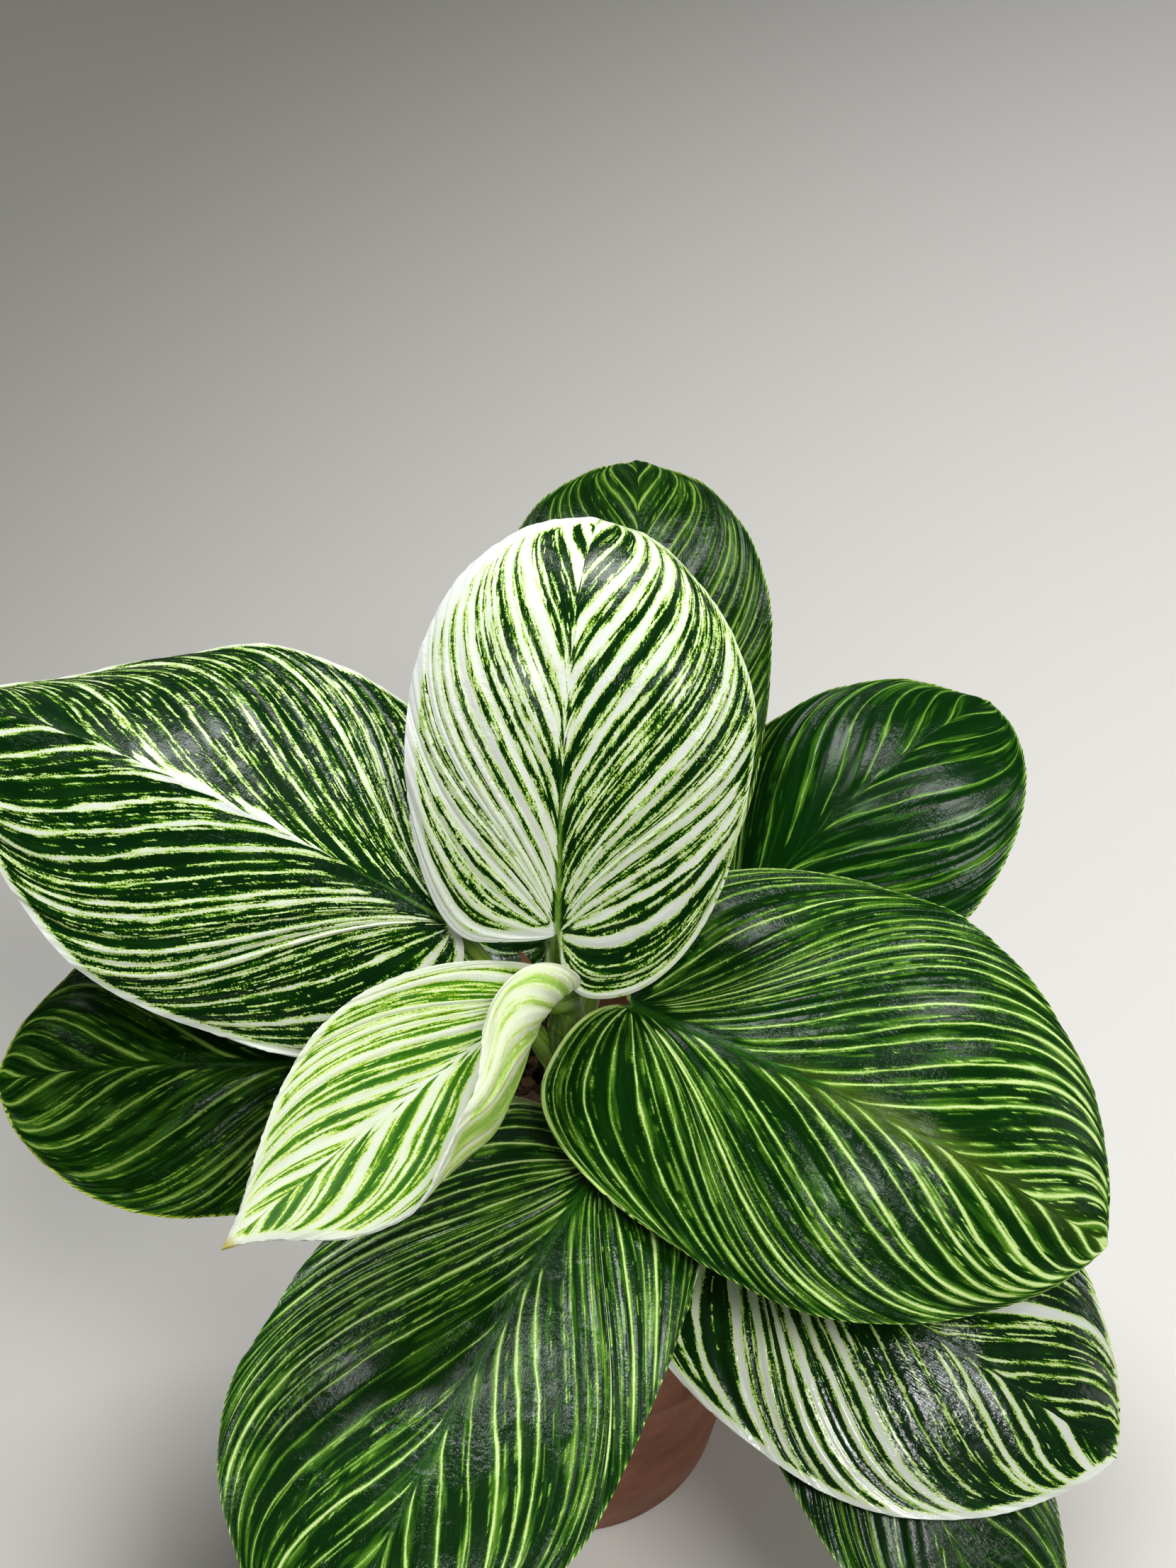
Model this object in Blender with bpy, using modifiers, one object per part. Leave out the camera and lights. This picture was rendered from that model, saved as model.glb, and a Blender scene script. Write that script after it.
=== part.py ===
"""A potted pinstripe philodendron: twelve leaves on one short stem, in a plain clay pot.

Metres, +Z up. The origin is the centre of the pot's underside, on the floor.
Every leaf is one solid: a thin lofted blade, with its stalk and midrib joined to it.
"""

import bmesh
import bpy
import numpy as np

# ---- pot -------------------------------------------------------------------
POT_HEIGHT = 0.118
POT_BASE_R = 0.043
POT_SHOULDER_R = 0.0565
RIM_R = 0.0620
RIM_DROP = 0.024
WALL = 0.0045
FLOOR = 0.0060
DRAIN_R = 0.0040
DRAIN_AT = 0.0200
DRAINS = 3
# ---- planting --------------------------------------------------------------
GAP = 0.0003
CLEAR = 0.0005
SOIL_TOP = 0.1050
SOIL_DEPTH = 0.0140
SHEATH_FOOT = 0.1750
SHEATH_LENGTH = 0.0250
SHEATH_W = 0.0021
SHEATH_TURN = 146
# ---- leaves ----------------------------------------------------------------
BLADE = 0.0009
MARGIN_POINTS = 17
VEIN_POINTS = 6

# Stem centre line: (x, y, z, radius) in millimetres, foot to tip.
STEM = (
    (0, 0, 97.5, 7.6), (0, 0, 104, 7.4), (0, 0, 110, 6.6), (0, 0, 117, 6.9),
    (0, 0, 124, 6.3), (0, 0, 131, 6.6), (0, 0, 138, 6.0), (0, 0, 145, 6.3),
    (0, 0, 152, 5.7), (0, 0, 159, 5.9), (0, 0, 166, 5.2), (0, 0, 173, 5.3),
    (0, 0, 179, 4.5), (0, 0, 184, 4.2), (0, 0, 188, 3.0), (0, 0, 190, 1.6),
)

# One entry a leaf. Lengths in millimetres, angles in degrees.
# base: where the stalk meets the blade. heading: 0 is away along +Y, 90 is +X.
# pitch: climb of the midrib at the base. bend: how far it noses over by the tip.
# half_l, half_r: widths of the two halves. lobe_l, lobe_r: lobes behind the stalk.
# fold: tilt of each half at (base, middle, tip). curl: its further bend to the margin.
# level: how far out from the midrib a half stays straight before it curls.
LEAVES = {
    "leaf_01": dict(
        base=(-2, -4, 216), heading=3, pitch=62, bend=75, power=2.4, swerve=12,
        length=104, half_r=43, half_l=36, lobe_r=15, lobe_l=2, at_r=0.2, at_l=0.5,
        wide=0.46, point=-0.15, fold=10, curl=-22,
        stem=(0, 2, 171), out=(0, 6, 14), inn=(0, -2, 16)),
    "leaf_02": dict(
        base=(-26, 2, 212), heading=-68, pitch=20, roll=20, bend=28, power=1.6, swerve=-5,
        length=140, half_r=53, half_l=52, lobe_r=17, lobe_l=8, wide=0.44, point=0.15,
        fold_r=(-5, -7, -37), fold_l=(-18, -8, -5), curl=-25,
        stem=(-2, -1, 164), out=(-10, 0, 18), inn=(-10, 3, 12)),
    "leaf_03": dict(
        base=(18, 50, 200), heading=0, pitch=45, bend=60, power=1.6,
        length=108, half_r=34, half_l=38, lobe_r=14, lobe_l=14, wide=0.48, point=0.0,
        fold=8, curl=-22,
        stem=(1, 3, 146), out=(3, 16, 22), inn=(3, 14, 14)),
    "leaf_04": dict(
        base=(38, 31, 170), heading=58, pitch=46, bend=60, power=1.6, swerve=-10,
        length=101, half_r=46, half_l=37, lobe_r=18, lobe_l=18, wide=0.45, point=-0.15,
        fold=8, curl=-22,
        stem=(2, 2, 134), out=(14, 9, 18), inn=(9, 6, 12)),
    "leaf_05": dict(
        base=(15, -9, 196), heading=121, pitch=5, roll=-20, bend=45, power=1.5,
        length=124, half_r=48, half_l=58, lobe_r=12, lobe_l=6, wide=0.44, point=-0.15,
        fold=0, curl=-25,
        stem=(2, -1, 158), out=(10, -2, 18), inn=(4, -3, 10)),
    "leaf_06": dict(
        base=(-50, -2, 164), heading=-97, pitch=12, roll=20, bend=35, power=1.6,
        length=92, half_r=40, half_l=37, lobe_r=17, lobe_l=17, wide=0.46, point=-0.35,
        fold=0, curl=-20,
        stem=(-3, 0, 137), out=(-16, 0, 14), inn=(-14, 0, 6)),
    "leaf_07": dict(
        base=(-3.5, -11, 203.5), heading=-139, pitch=9, roll=10, bend=12, power=1.5,
        length=100, half_r=26, half_l=40, lobe_r=3, lobe_l=3, wide=0.42, point=0.9,
        shoulder=0.15, at_r=0.2, at_l=0.2, fold_r=5, fold_l=(30, 10, 10),
        curl_r=(40, -5, -20), curl_l=(410, 245, 0), level_l=(2, 15, 12),
        stem=(0, 0, 186), out=(1, -3, 6), inn=(1, 1, 6)),
    "leaf_08": dict(
        base=(8, -34, 168), heading=-155, pitch=12, bend=40, power=1.5,
        length=140, half_r=53, half_l=38, lobe_r=13, lobe_l=13, wide=0.55, point=0.1,
        fold=0, curl=-25,
        stem=(1, -3, 142), out=(3, -14, 12), inn=(2, -10, 6)),
    "leaf_09": dict(
        base=(38, -32, 146), heading=124, pitch=0, roll=-15, bend=30, power=1.5,
        length=108, half_r=45, half_l=46, lobe_r=13, lobe_l=20, wide=0.44, point=-0.2,
        fold=0, curl=-20,
        stem=(3, -2, 122), out=(16, -10, 14), inn=(12, -9, 5)),
    "leaf_10": dict(
        base=(58, -50, 130), heading=150, pitch=-8, roll=-10, bend=30, power=1.5,
        length=104, half_r=26, half_l=31, lobe_r=16, lobe_l=16, wide=0.42, point=0.1,
        fold=0, curl=-20,
        stem=(3, -2, 110), out=(22, -18, 16), inn=(16, -14, 3)),
    "leaf_11": dict(
        base=(3, -18, 130), heading=151, pitch=-6, bend=15, power=1.5,
        length=44, half_r=15, half_l=13, lobe_r=6, lobe_l=6, wide=0.4, point=0.3,
        fold=6, curl=-20,
        stem=(-1, -2, 113), out=(0, -10, 10), inn=(1, -4, 8)),
    "leaf_12": dict(
        base=(-6, 58, 141), heading=-14, pitch=14, bend=45, power=1.5,
        length=88, half_r=31, half_l=31, lobe_r=13, lobe_l=13, wide=0.46, point=0.0,
        fold=6, curl=-20,
        stem=(-1, 3, 127), out=(-1, 16, 14), inn=(-1, 12, 2)),
}


# ---- scene helpers -----------------------------------------------------------
def empty_scene():
    for obj in list(bpy.data.objects):
        bpy.data.objects.remove(obj, do_unlink=True)
    parts = bpy.data.collections.new("potted_philodendron")
    cutters = bpy.data.collections.new("cutters")
    for coll in (parts, cutters):
        bpy.context.scene.collection.children.link(coll)
    cutters.hide_render = True
    return parts, cutters


def material(name, color, roughness):
    mat = bpy.data.materials.new(name)
    mat.use_nodes = True
    shader = mat.node_tree.nodes["Principled BSDF"]
    shader.inputs["Base Color"].default_value = (*color, 1.0)
    shader.inputs["Roughness"].default_value = roughness
    mat.diffuse_color = (*color, 1.0)
    return mat


def mesh_object(name, points, faces, coll, mat=None):
    mesh = bpy.data.meshes.new(name)
    mesh.from_pydata([tuple(p) for p in points], [], [tuple(f) for f in faces])
    mesh.validate()
    obj = bpy.data.objects.new(name, mesh)
    coll.objects.link(obj)
    if mat:
        mesh.materials.append(mat)
    return obj


def as_cutter(obj):
    obj.hide_render = True
    obj.display_type = "WIRE"
    return obj


def boolean(obj, other, operation):
    mod = obj.modifiers.new(operation.lower(), "BOOLEAN")
    mod.operation = operation
    mod.solver = "EXACT"
    mod.object = other
    return mod


def settled(obj):
    """The object with its modifiers applied to its mesh."""
    bpy.context.view_layer.update()
    graph = bpy.context.evaluated_depsgraph_get()
    mesh = bpy.data.meshes.new_from_object(obj.evaluated_get(graph))
    obj.modifiers.clear()
    obj.data = mesh
    return obj


def weld(mesh, within=0.00002):
    """Vertices that coincide made one, and every face turned to point outwards."""
    work = bmesh.new()
    work.from_mesh(mesh)
    bmesh.ops.remove_doubles(work, verts=work.verts, dist=within)
    if all(edge.is_manifold for edge in work.edges):
        bmesh.ops.recalc_face_normals(work, faces=work.faces)
    work.to_mesh(mesh)
    work.free()


def tube(name, points, radii, coll, sides=8):
    """A round bar along the points: a bevelled curve with closed ends, made a mesh."""
    curve = bpy.data.curves.new(name, "CURVE")
    curve.dimensions = "3D"
    curve.bevel_depth = 1.0
    curve.bevel_resolution = sides // 4
    curve.use_fill_caps = True
    curve.twist_mode = "MINIMUM"
    spline = curve.splines.new("POLY")
    spline.points.add(len(points) - 1)
    for knot, place, radius in zip(spline.points, points, radii):
        knot.co = (*place, 1.0)
        knot.radius = radius
    path = bpy.data.objects.new(name + "_path", curve)
    coll.objects.link(path)
    bpy.context.view_layer.update()
    graph = bpy.context.evaluated_depsgraph_get()
    mesh = bpy.data.meshes.new_from_object(path.evaluated_get(graph))
    rod = bpy.data.objects.new(name, mesh)
    rod.matrix_world = path.matrix_world
    coll.objects.link(rod)
    bpy.data.objects.remove(path, do_unlink=True)
    weld(mesh)
    return rod


# ---- leaf maths ----------------------------------------------------------------
def bezier(a, b, c, d, t):
    t = np.asarray(t, float)[:, None]
    return (1 - t) ** 3 * a + 3 * (1 - t) ** 2 * t * b + 3 * (1 - t) * t ** 2 * c + t ** 3 * d


def ease(x):
    x = np.clip(x, 0, 1)
    return x * x * (3 - 2 * x)


def along(values, u):
    """A value eased between (base, middle, tip), or the same number all along."""
    v = np.atleast_1d(np.asarray(values, float))
    if len(v) == 1:
        return np.full_like(u, v[0])
    return np.where(u < 0.5, v[0] + (v[1] - v[0]) * ease(2 * u),
                    v[1] + (v[2] - v[1]) * ease(2 * u - 1))


def margin_curve(half, length, lobe, wide, point, at, shoulder, count):
    """Half a heart shape laid flat: from the notch, round the lobe, to the tip."""
    y = wide * length
    corners = np.array([
        [(0, 0), (0.09 * at * half, -0.75 * lobe), (0.48 * at * half, -lobe), (at * half, -lobe)],
        [(at * half, -lobe), ((at + shoulder * (1 - at)) * half, -lobe),
         (half, y - 0.42 * (y + lobe)), (half, y)],
        [(half, y), (half, y + 0.42 * (length - y)),
         ((0.52 - 0.34 * point) * half, length * (0.90 - 0.06 * point)), (0, length)],
    ], float)
    t = np.linspace(0, 1, 200)
    line = np.concatenate([bezier(*c, t)[(0 if k == 0 else 1):] for k, c in enumerate(corners)])
    run = np.concatenate([[0], np.cumsum(np.linalg.norm(np.diff(line, axis=0), axis=1))])
    s = np.linspace(0, run[-1], count)
    return np.stack([np.interp(s, run, line[:, k]) for k in (0, 1)], 1)


def flat_half(half, length, lobe, wide, point, at, shoulder, rows, cols, fan=0.22, lean=0.30):
    """Rows of side veins, each running from the midrib (first) to the margin (last)."""
    edge = margin_curve(half, length, lobe, wide, point, at, shoulder, rows)
    tau = np.linspace(0, 1, rows)
    rise = np.clip((tau - fan) / (1 - fan), 0, 1) ** 1.25
    root = np.stack([np.zeros(rows), rise * length], 1)
    span = edge - root
    turn = lean * np.sin(np.pi * tau) ** 0.6 * ease((tau - 0.10) / 0.25)
    turn = turn - 0.42 * (1 - ease(tau / 0.24))
    c, s = np.cos(turn), np.sin(turn)
    knee = root + 0.5 * np.stack([c * span[:, 0] + s * span[:, 1],
                                  c * span[:, 1] - s * span[:, 0]], 1)
    t = np.linspace(0, 1, cols)[None, :, None]
    return (1 - t) ** 2 * root[:, None] + 2 * (1 - t) * t * knee[:, None] + t ** 2 * edge[:, None]


def midrib(leaf, steps=240):
    """Points of the midrib with its forward, sideways and upward directions."""
    h, p, r = np.radians([leaf["heading"], leaf["pitch"], leaf.get("roll", 0)])
    fore = np.array([np.cos(p) * np.sin(h), np.cos(p) * np.cos(h), np.sin(p)])
    rise = np.array([-np.sin(p) * np.sin(h), -np.sin(p) * np.cos(h), np.cos(p)])
    side = np.cross(fore, rise)
    side, rise = np.cos(r) * side + np.sin(r) * rise, np.cos(r) * rise - np.sin(r) * side
    length, power = leaf["length"] / 1000, leaf["power"]
    spot = np.array(leaf["base"]) / 1000
    rows = [(spot, fore, side, rise)]
    for k in range(steps):
        rate = power * ((k + 0.5) / steps) ** (power - 1) / steps
        nod = np.radians(leaf["bend"]) * rate
        yaw = np.radians(leaf.get("swerve", 0)) * rate
        roll = np.radians(leaf.get("twist", 0)) / steps
        ahead = fore - nod * rise + yaw * side
        ahead /= np.linalg.norm(ahead)
        rise = np.cross(side + roll * rise, ahead)
        rise /= np.linalg.norm(rise)
        spot = spot + (fore + ahead) / 2 * length / steps
        fore, side = ahead, np.cross(ahead, rise)
        rows.append((spot, fore, side, rise))
    return [np.array(col) for col in zip(*rows)]


def in_space(flat, sign, leaf, frames):
    """Flat points of one half carried onto the bent midrib, then folded and curled."""
    length = leaf["length"] / 1000
    name = "_r" if sign > 0 else "_l"
    half = leaf["half" + name] / 1000
    u = np.linspace(0, 1, len(frames[0]))
    v = np.clip(flat[..., 1] / length, 0, 1)
    spot, fore, side, rise = (
        np.stack([np.interp(v, u, f[:, k]) for k in range(3)], -1) for f in frames)
    spot = spot + np.minimum(flat[..., 1], 0)[..., None] * fore
    fold = np.radians(along(leaf.get("fold" + name, leaf.get("fold", 0)), v))
    curl = np.radians(along(leaf.get("curl" + name, leaf.get("curl", 0)), v)) / half
    curl = np.where(np.abs(curl) < 1e-6, 1e-6, curl)
    level = np.minimum(flat[..., 0], along(leaf.get("level" + name, 0), v) / 1000)
    x = flat[..., 0] - level
    out = level * np.cos(fold) + (np.sin(fold + curl * x) - np.sin(fold)) / curl
    up = level * np.sin(fold) + (np.cos(fold) - np.cos(fold + curl * x)) / curl
    return spot + sign * out[..., None] * side + up[..., None] * rise


def blade(name, leaf, frames, coll):
    """The leaf's middle surface, lofted vein by vein, with a Solidify for its thickness."""
    points, faces = [], []
    rows, cols = MARGIN_POINTS, VEIN_POINTS
    for sign, tag in ((1, "_r"), (-1, "_l")):
        flat = flat_half(leaf["half" + tag] / 1000, leaf["length"] / 1000,
                         leaf["lobe" + tag] / 1000, leaf["wide"], leaf["point"],
                         leaf.get("at" + tag, 0.46), leaf.get("shoulder", 0.67), rows, cols)
        grid = len(faces) // ((rows - 1) * (cols - 1)) * rows * cols
        grid = grid + np.arange(rows * cols).reshape(rows, cols)
        points.append(in_space(flat, sign, leaf, frames).reshape(-1, 3))
        quads = np.stack([grid[:-1, :-1], grid[:-1, 1:], grid[1:, 1:], grid[1:, :-1]], -1)
        faces += list(quads.reshape(-1, 4)[:, ::sign])
    obj = mesh_object(name, np.concatenate(points), faces, coll)
    weld(obj.data)
    solid = obj.modifiers.new("thickness", "SOLIDIFY")
    solid.thickness = BLADE
    solid.offset = 0.0
    return obj


def stalk(name, leaf, frames, coll):
    """The stalk from inside the stem to the blade, then the midrib under the blade."""
    spot, fore, _, rise = frames
    start, reach, near = (np.array(leaf[k]) / 1000 for k in ("stem", "out", "inn"))
    meet = spot[0] - 0.0012 * rise[0]
    t = np.linspace(0, 1, 9)
    lower = bezier(start, start + reach, meet - near, meet, t)
    radii = list(np.interp(t, [0, 0.25, 1], [0.0030, 0.0023, 0.0019]))
    share = np.array([0.06, 0.16, 0.30, 0.46, 0.62, 0.78])
    rows = np.round(share * (len(spot) - 1)).astype(int)
    thin = np.interp(share, [0, 0.3, 0.78], [0.0017, 0.0012, 0.0006])
    upper = spot[rows] - (thin * 0.55 + 0.0001)[:, None] * rise[rows]
    return tube(name, np.concatenate([lower, upper]), radii + list(thin), coll)


def build_leaf(name, leaf, parts, cutters, socket, mat):
    frames = midrib(leaf)
    obj = blade(name, leaf, frames, parts)
    rod = as_cutter(stalk(name + "_stalk", leaf, frames, cutters))
    boolean(obj, rod, "UNION")
    boolean(obj, socket, "DIFFERENCE")
    settled(obj)
    obj.data.materials.clear()
    obj.data.materials.append(mat)
    return obj


# ---- stem, sheath ----------------------------------------------------------------
def build_stem(parts, cutters, mat):
    rows = np.array(STEM, float) / 1000
    obj = tube("stem", rows[:, :3], rows[:, 3], parts, sides=16)
    obj.data.materials.append(mat)
    extended = rows.copy()
    extended[0, 2] -= GAP
    extended[-1, 2] += GAP
    socket = as_cutter(tube("stem_socket", extended[:, :3], extended[:, 3] + GAP, cutters, 16))
    return obj, socket


def build_sheath(parts, mat):
    """A dry scale of old leaf sheath that stands beside the growing tip."""
    rows, cols = 9, 7
    v = np.linspace(0, 1, rows)[:, None]
    w = np.linspace(-1, 1, cols)[None, :]
    width = SHEATH_W * np.sin(np.pi * (0.16 + 0.80 * v)) ** 0.8
    turn = np.radians(SHEATH_TURN + 12 * v)
    reach = 0.0059 + 0.0062 * v ** 1.4 - 0.0004 * w ** 2 * (1 - v)
    x = reach * np.cos(turn) - width * w * np.sin(turn)
    y = reach * np.sin(turn) + width * w * np.cos(turn)
    z = SHEATH_FOOT + SHEATH_LENGTH * v + 0 * w
    grid = np.arange(rows * cols).reshape(rows, cols)
    quads = np.stack([grid[:-1, :-1], grid[:-1, 1:], grid[1:, 1:], grid[1:, :-1]], -1)
    points = np.stack([x, y, z], -1).reshape(-1, 3)
    obj = mesh_object("sheath", points, quads.reshape(-1, 4), parts, mat)
    solid = obj.modifiers.new("thickness", "SOLIDIFY")
    solid.thickness = 0.0007
    solid.offset = 0.0
    return obj


# ---- pot, soil, roots ------------------------------------------------------------
def lathe(name, profile, coll, mat, steps=48):
    """A profile of (radius, height), from the axis down its outer side, turned about Z."""
    mesh = bpy.data.meshes.new(name)
    edges = [(k, k + 1) for k in range(len(profile) - 1)]
    mesh.from_pydata([(r, 0, z) for r, z in profile], edges, [])
    mesh.materials.append(mat)
    obj = bpy.data.objects.new(name, mesh)
    coll.objects.link(obj)
    screw = obj.modifiers.new("turn", "SCREW")
    screw.axis = "Z"
    screw.steps = screw.render_steps = steps
    screw.use_merge_vertices = True
    screw.merge_threshold = 0.00001
    settled(obj)
    weld(obj.data, 0.00001)
    return obj


def inner_radius(z):
    """Inside radius of the pot's wall at a height."""
    low, high = POT_BASE_R - WALL + 0.0015, POT_SHOULDER_R - WALL + 0.0012
    return low + (high - low) * (z - FLOOR) / (POT_HEIGHT - FLOOR)


def build_pot(parts, cutters, mat):
    top, lip = POT_HEIGHT, POT_HEIGHT - RIM_DROP
    profile = [
        (0, FLOOR), (inner_radius(FLOOR) - 0.003, FLOOR),
        (inner_radius(FLOOR + 0.003), FLOOR + 0.003),
        (inner_radius(top) + 0.0001, top - 0.0016), (inner_radius(top) + 0.0016, top),
        (RIM_R - 0.0004, top), (RIM_R + 0.0008, top - 0.0014),
        (RIM_R, lip + 0.0014), (RIM_R - 0.0010, lip + 0.0002), (POT_SHOULDER_R, lip),
        (POT_BASE_R, 0.0015), (POT_BASE_R - 0.0015, 0), (0, 0),
    ]
    pot = lathe("pot", profile, parts, mat, 56)
    for k in range(DRAINS):
        angle = np.radians(90 + 360 * k / DRAINS)
        x, y = DRAIN_AT * np.cos(angle), DRAIN_AT * np.sin(angle)
        line = [(x, y, -0.01), (x, y, FLOOR + 0.01)]
        hole = as_cutter(tube(f"drain_{k + 1}", line, [DRAIN_R] * 2, cutters, 16))
        boolean(pot, hole, "DIFFERENCE")
    settled(pot)
    return pot


def build_soil(parts, socket, mat):
    """A plug with a lumpy top, and a recess for the stem's foot."""
    rings = 8
    rim = inner_radius(SOIL_TOP) - CLEAR
    low = SOIL_TOP - SOIL_DEPTH
    top = [(rim * k / rings, SOIL_TOP) for k in range(rings + 1)]
    profile = top + [(inner_radius(low) - CLEAR, low), (0, low)]
    soil = lathe("soil", profile, parts, mat, 40)
    for vertex in soil.data.vertices:
        x, y, z = vertex.co
        if z > SOIL_TOP - 0.0001:
            r, angle = np.hypot(x, y), np.arctan2(y, x)
            lump = (0.0011 * np.sin(3 * angle + 140 * r) + 0.0008 * np.sin(7 * angle - 220 * r)
                    + 0.0006 * np.cos(13 * angle + 167 * r))
            share = min(r / 0.006, 1.0)
            vertex.co.z = SOIL_TOP + 0.0016 * (1 - (r / rim) ** 2) + 0.6 * share * lump
    boolean(soil, socket, "DIFFERENCE")
    settled(soil)
    return soil


def build_roots(parts, mat):
    low, high = FLOOR + GAP, SOIL_TOP - SOIL_DEPTH - GAP
    profile = [
        (0, high), (inner_radius(high) - CLEAR, high),
        (inner_radius(FLOOR + 0.003) - CLEAR, low + 0.003),
        (inner_radius(FLOOR) - 0.003 - CLEAR, low), (0, low),
    ]
    return lathe("root_ball", profile, parts, mat, 40)


def main():
    parts, cutters = empty_scene()
    green = material("leaf_green", (0.05, 0.20, 0.05), 0.30)
    pale = material("leaf_pale", (0.62, 0.74, 0.40), 0.30)
    stem_mat = material("stem_green", (0.30, 0.42, 0.12), 0.45)
    papery = material("papery_sheath", (0.38, 0.22, 0.12), 0.75)
    earth = material("potting_mix", (0.050, 0.035, 0.025), 0.95)
    roots = material("root_mix", (0.16, 0.11, 0.07), 0.95)
    clay = material("clay", (0.42, 0.22, 0.14), 0.80)
    _, socket = build_stem(parts, cutters, stem_mat)
    for name, leaf in LEAVES.items():
        build_leaf(name, leaf, parts, cutters, socket, pale if name == "leaf_07" else green)
    build_sheath(parts, papery)
    build_pot(parts, cutters, clay)
    build_soil(parts, socket, earth)
    build_roots(parts, roots)
    for obj in cutters.objects:
        as_cutter(obj)


main()
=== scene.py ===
# %% [markdown]
# # A potted pinstripe philodendron
# Twelve heart-shaped leaves stand on one short stem in a clay pot. Leaves could be flat
# cards with a painted picture, but then their folds, veins and edges would be missing.
# Here each leaf is a surface worked out from its own midrib, with its veins as the rows
# of a grid, and its stripes are a procedural material that follows those rows.
# The imported model comes first: the soil's size is read from it, its root ball stays, and its other
# pieces are hidden as this script builds them anew.

# %% Load the frame
import bmesh
import bpy
import numpy as np
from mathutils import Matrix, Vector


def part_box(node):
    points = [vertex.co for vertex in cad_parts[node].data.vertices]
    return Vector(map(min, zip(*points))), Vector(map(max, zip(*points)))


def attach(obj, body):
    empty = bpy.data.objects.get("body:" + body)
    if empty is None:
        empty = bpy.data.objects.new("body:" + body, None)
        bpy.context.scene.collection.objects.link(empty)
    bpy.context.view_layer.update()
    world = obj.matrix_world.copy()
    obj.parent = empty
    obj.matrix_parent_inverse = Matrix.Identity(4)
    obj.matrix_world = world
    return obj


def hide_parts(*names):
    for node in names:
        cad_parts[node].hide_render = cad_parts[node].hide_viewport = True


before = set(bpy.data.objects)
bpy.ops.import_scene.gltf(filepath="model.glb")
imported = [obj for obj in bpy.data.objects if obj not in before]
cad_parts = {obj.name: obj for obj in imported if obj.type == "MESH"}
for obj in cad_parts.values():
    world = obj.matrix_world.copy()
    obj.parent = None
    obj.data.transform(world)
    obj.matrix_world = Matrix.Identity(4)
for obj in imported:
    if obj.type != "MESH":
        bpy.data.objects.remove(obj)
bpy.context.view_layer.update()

MM = 0.001

# %% [markdown]
# ## Camera
# The plant is seen from in front and well above, about 45 degrees down, so that the newest
# leaf in the middle faces the lens. A 50 mm lens on a 36 mm tall sensor keeps the near
# leaves a little larger than the far ones, as they are from arm's length.

# %% Camera
LENS_AT = (0.00499, -0.33251, 0.59289)
LENS_TILT = 45

lens = bpy.data.cameras.new("camera")
lens.lens, lens.sensor_fit, lens.sensor_height = 50, "VERTICAL", 36
lens.clip_start = 0.01
camera = bpy.data.objects.new("camera", lens)
camera.location = LENS_AT
camera.rotation_euler = (np.radians(LENS_TILT), 0, 0)
bpy.context.scene.collection.objects.link(camera)
bpy.context.scene.camera = camera
print("camera", round(float(np.linalg.norm(np.array(LENS_AT) - (0, 0, 0.19))), 3), "m from the crown")

# %% [markdown]
# ## Colours and short calls for shader nodes
# Colours are written as the eye reads them, from 0 to 255, and turned into the linear
# values that the renderer wants. Node trees grow long when each node takes five lines, so
# a small helper adds a node, sets it and wires numbers or signals into it in one call. A
# signal is a node's output, and signals can be added and multiplied as numbers are.

# %% Colour and node helpers
def tone(red, green, blue):
    """A display colour made linear: divided by 255, then raised by the usual curve."""
    c = np.array([red, green, blue]) / 255
    c = np.where(c <= 0.04045, c / 12.92, ((c + 0.055) / 1.055) ** 2.4)
    return (*[round(float(x), 5) for x in c], 1.0)


class Signal:
    """A node's output that can be added, multiplied and so on. Each sum is a Math node."""

    def __init__(self, board, socket):
        self.board, self.socket = board, socket

    def __add__(self, other):
        return self.board.math("ADD", self, other)

    def __sub__(self, other):
        return self.board.math("SUBTRACT", self, other)

    def __rsub__(self, other):
        return self.board.math("SUBTRACT", other, self)

    def __mul__(self, other):
        return self.board.math("MULTIPLY", self, other)

    def __truediv__(self, other):
        return self.board.math("DIVIDE", self, other)

    def __abs__(self):
        return self.board.math("ABSOLUTE", self)

    def least(self, other):
        return self.board.math("MINIMUM", self, other)

    def most(self, other):
        return self.board.math("MAXIMUM", self, other)


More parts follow.
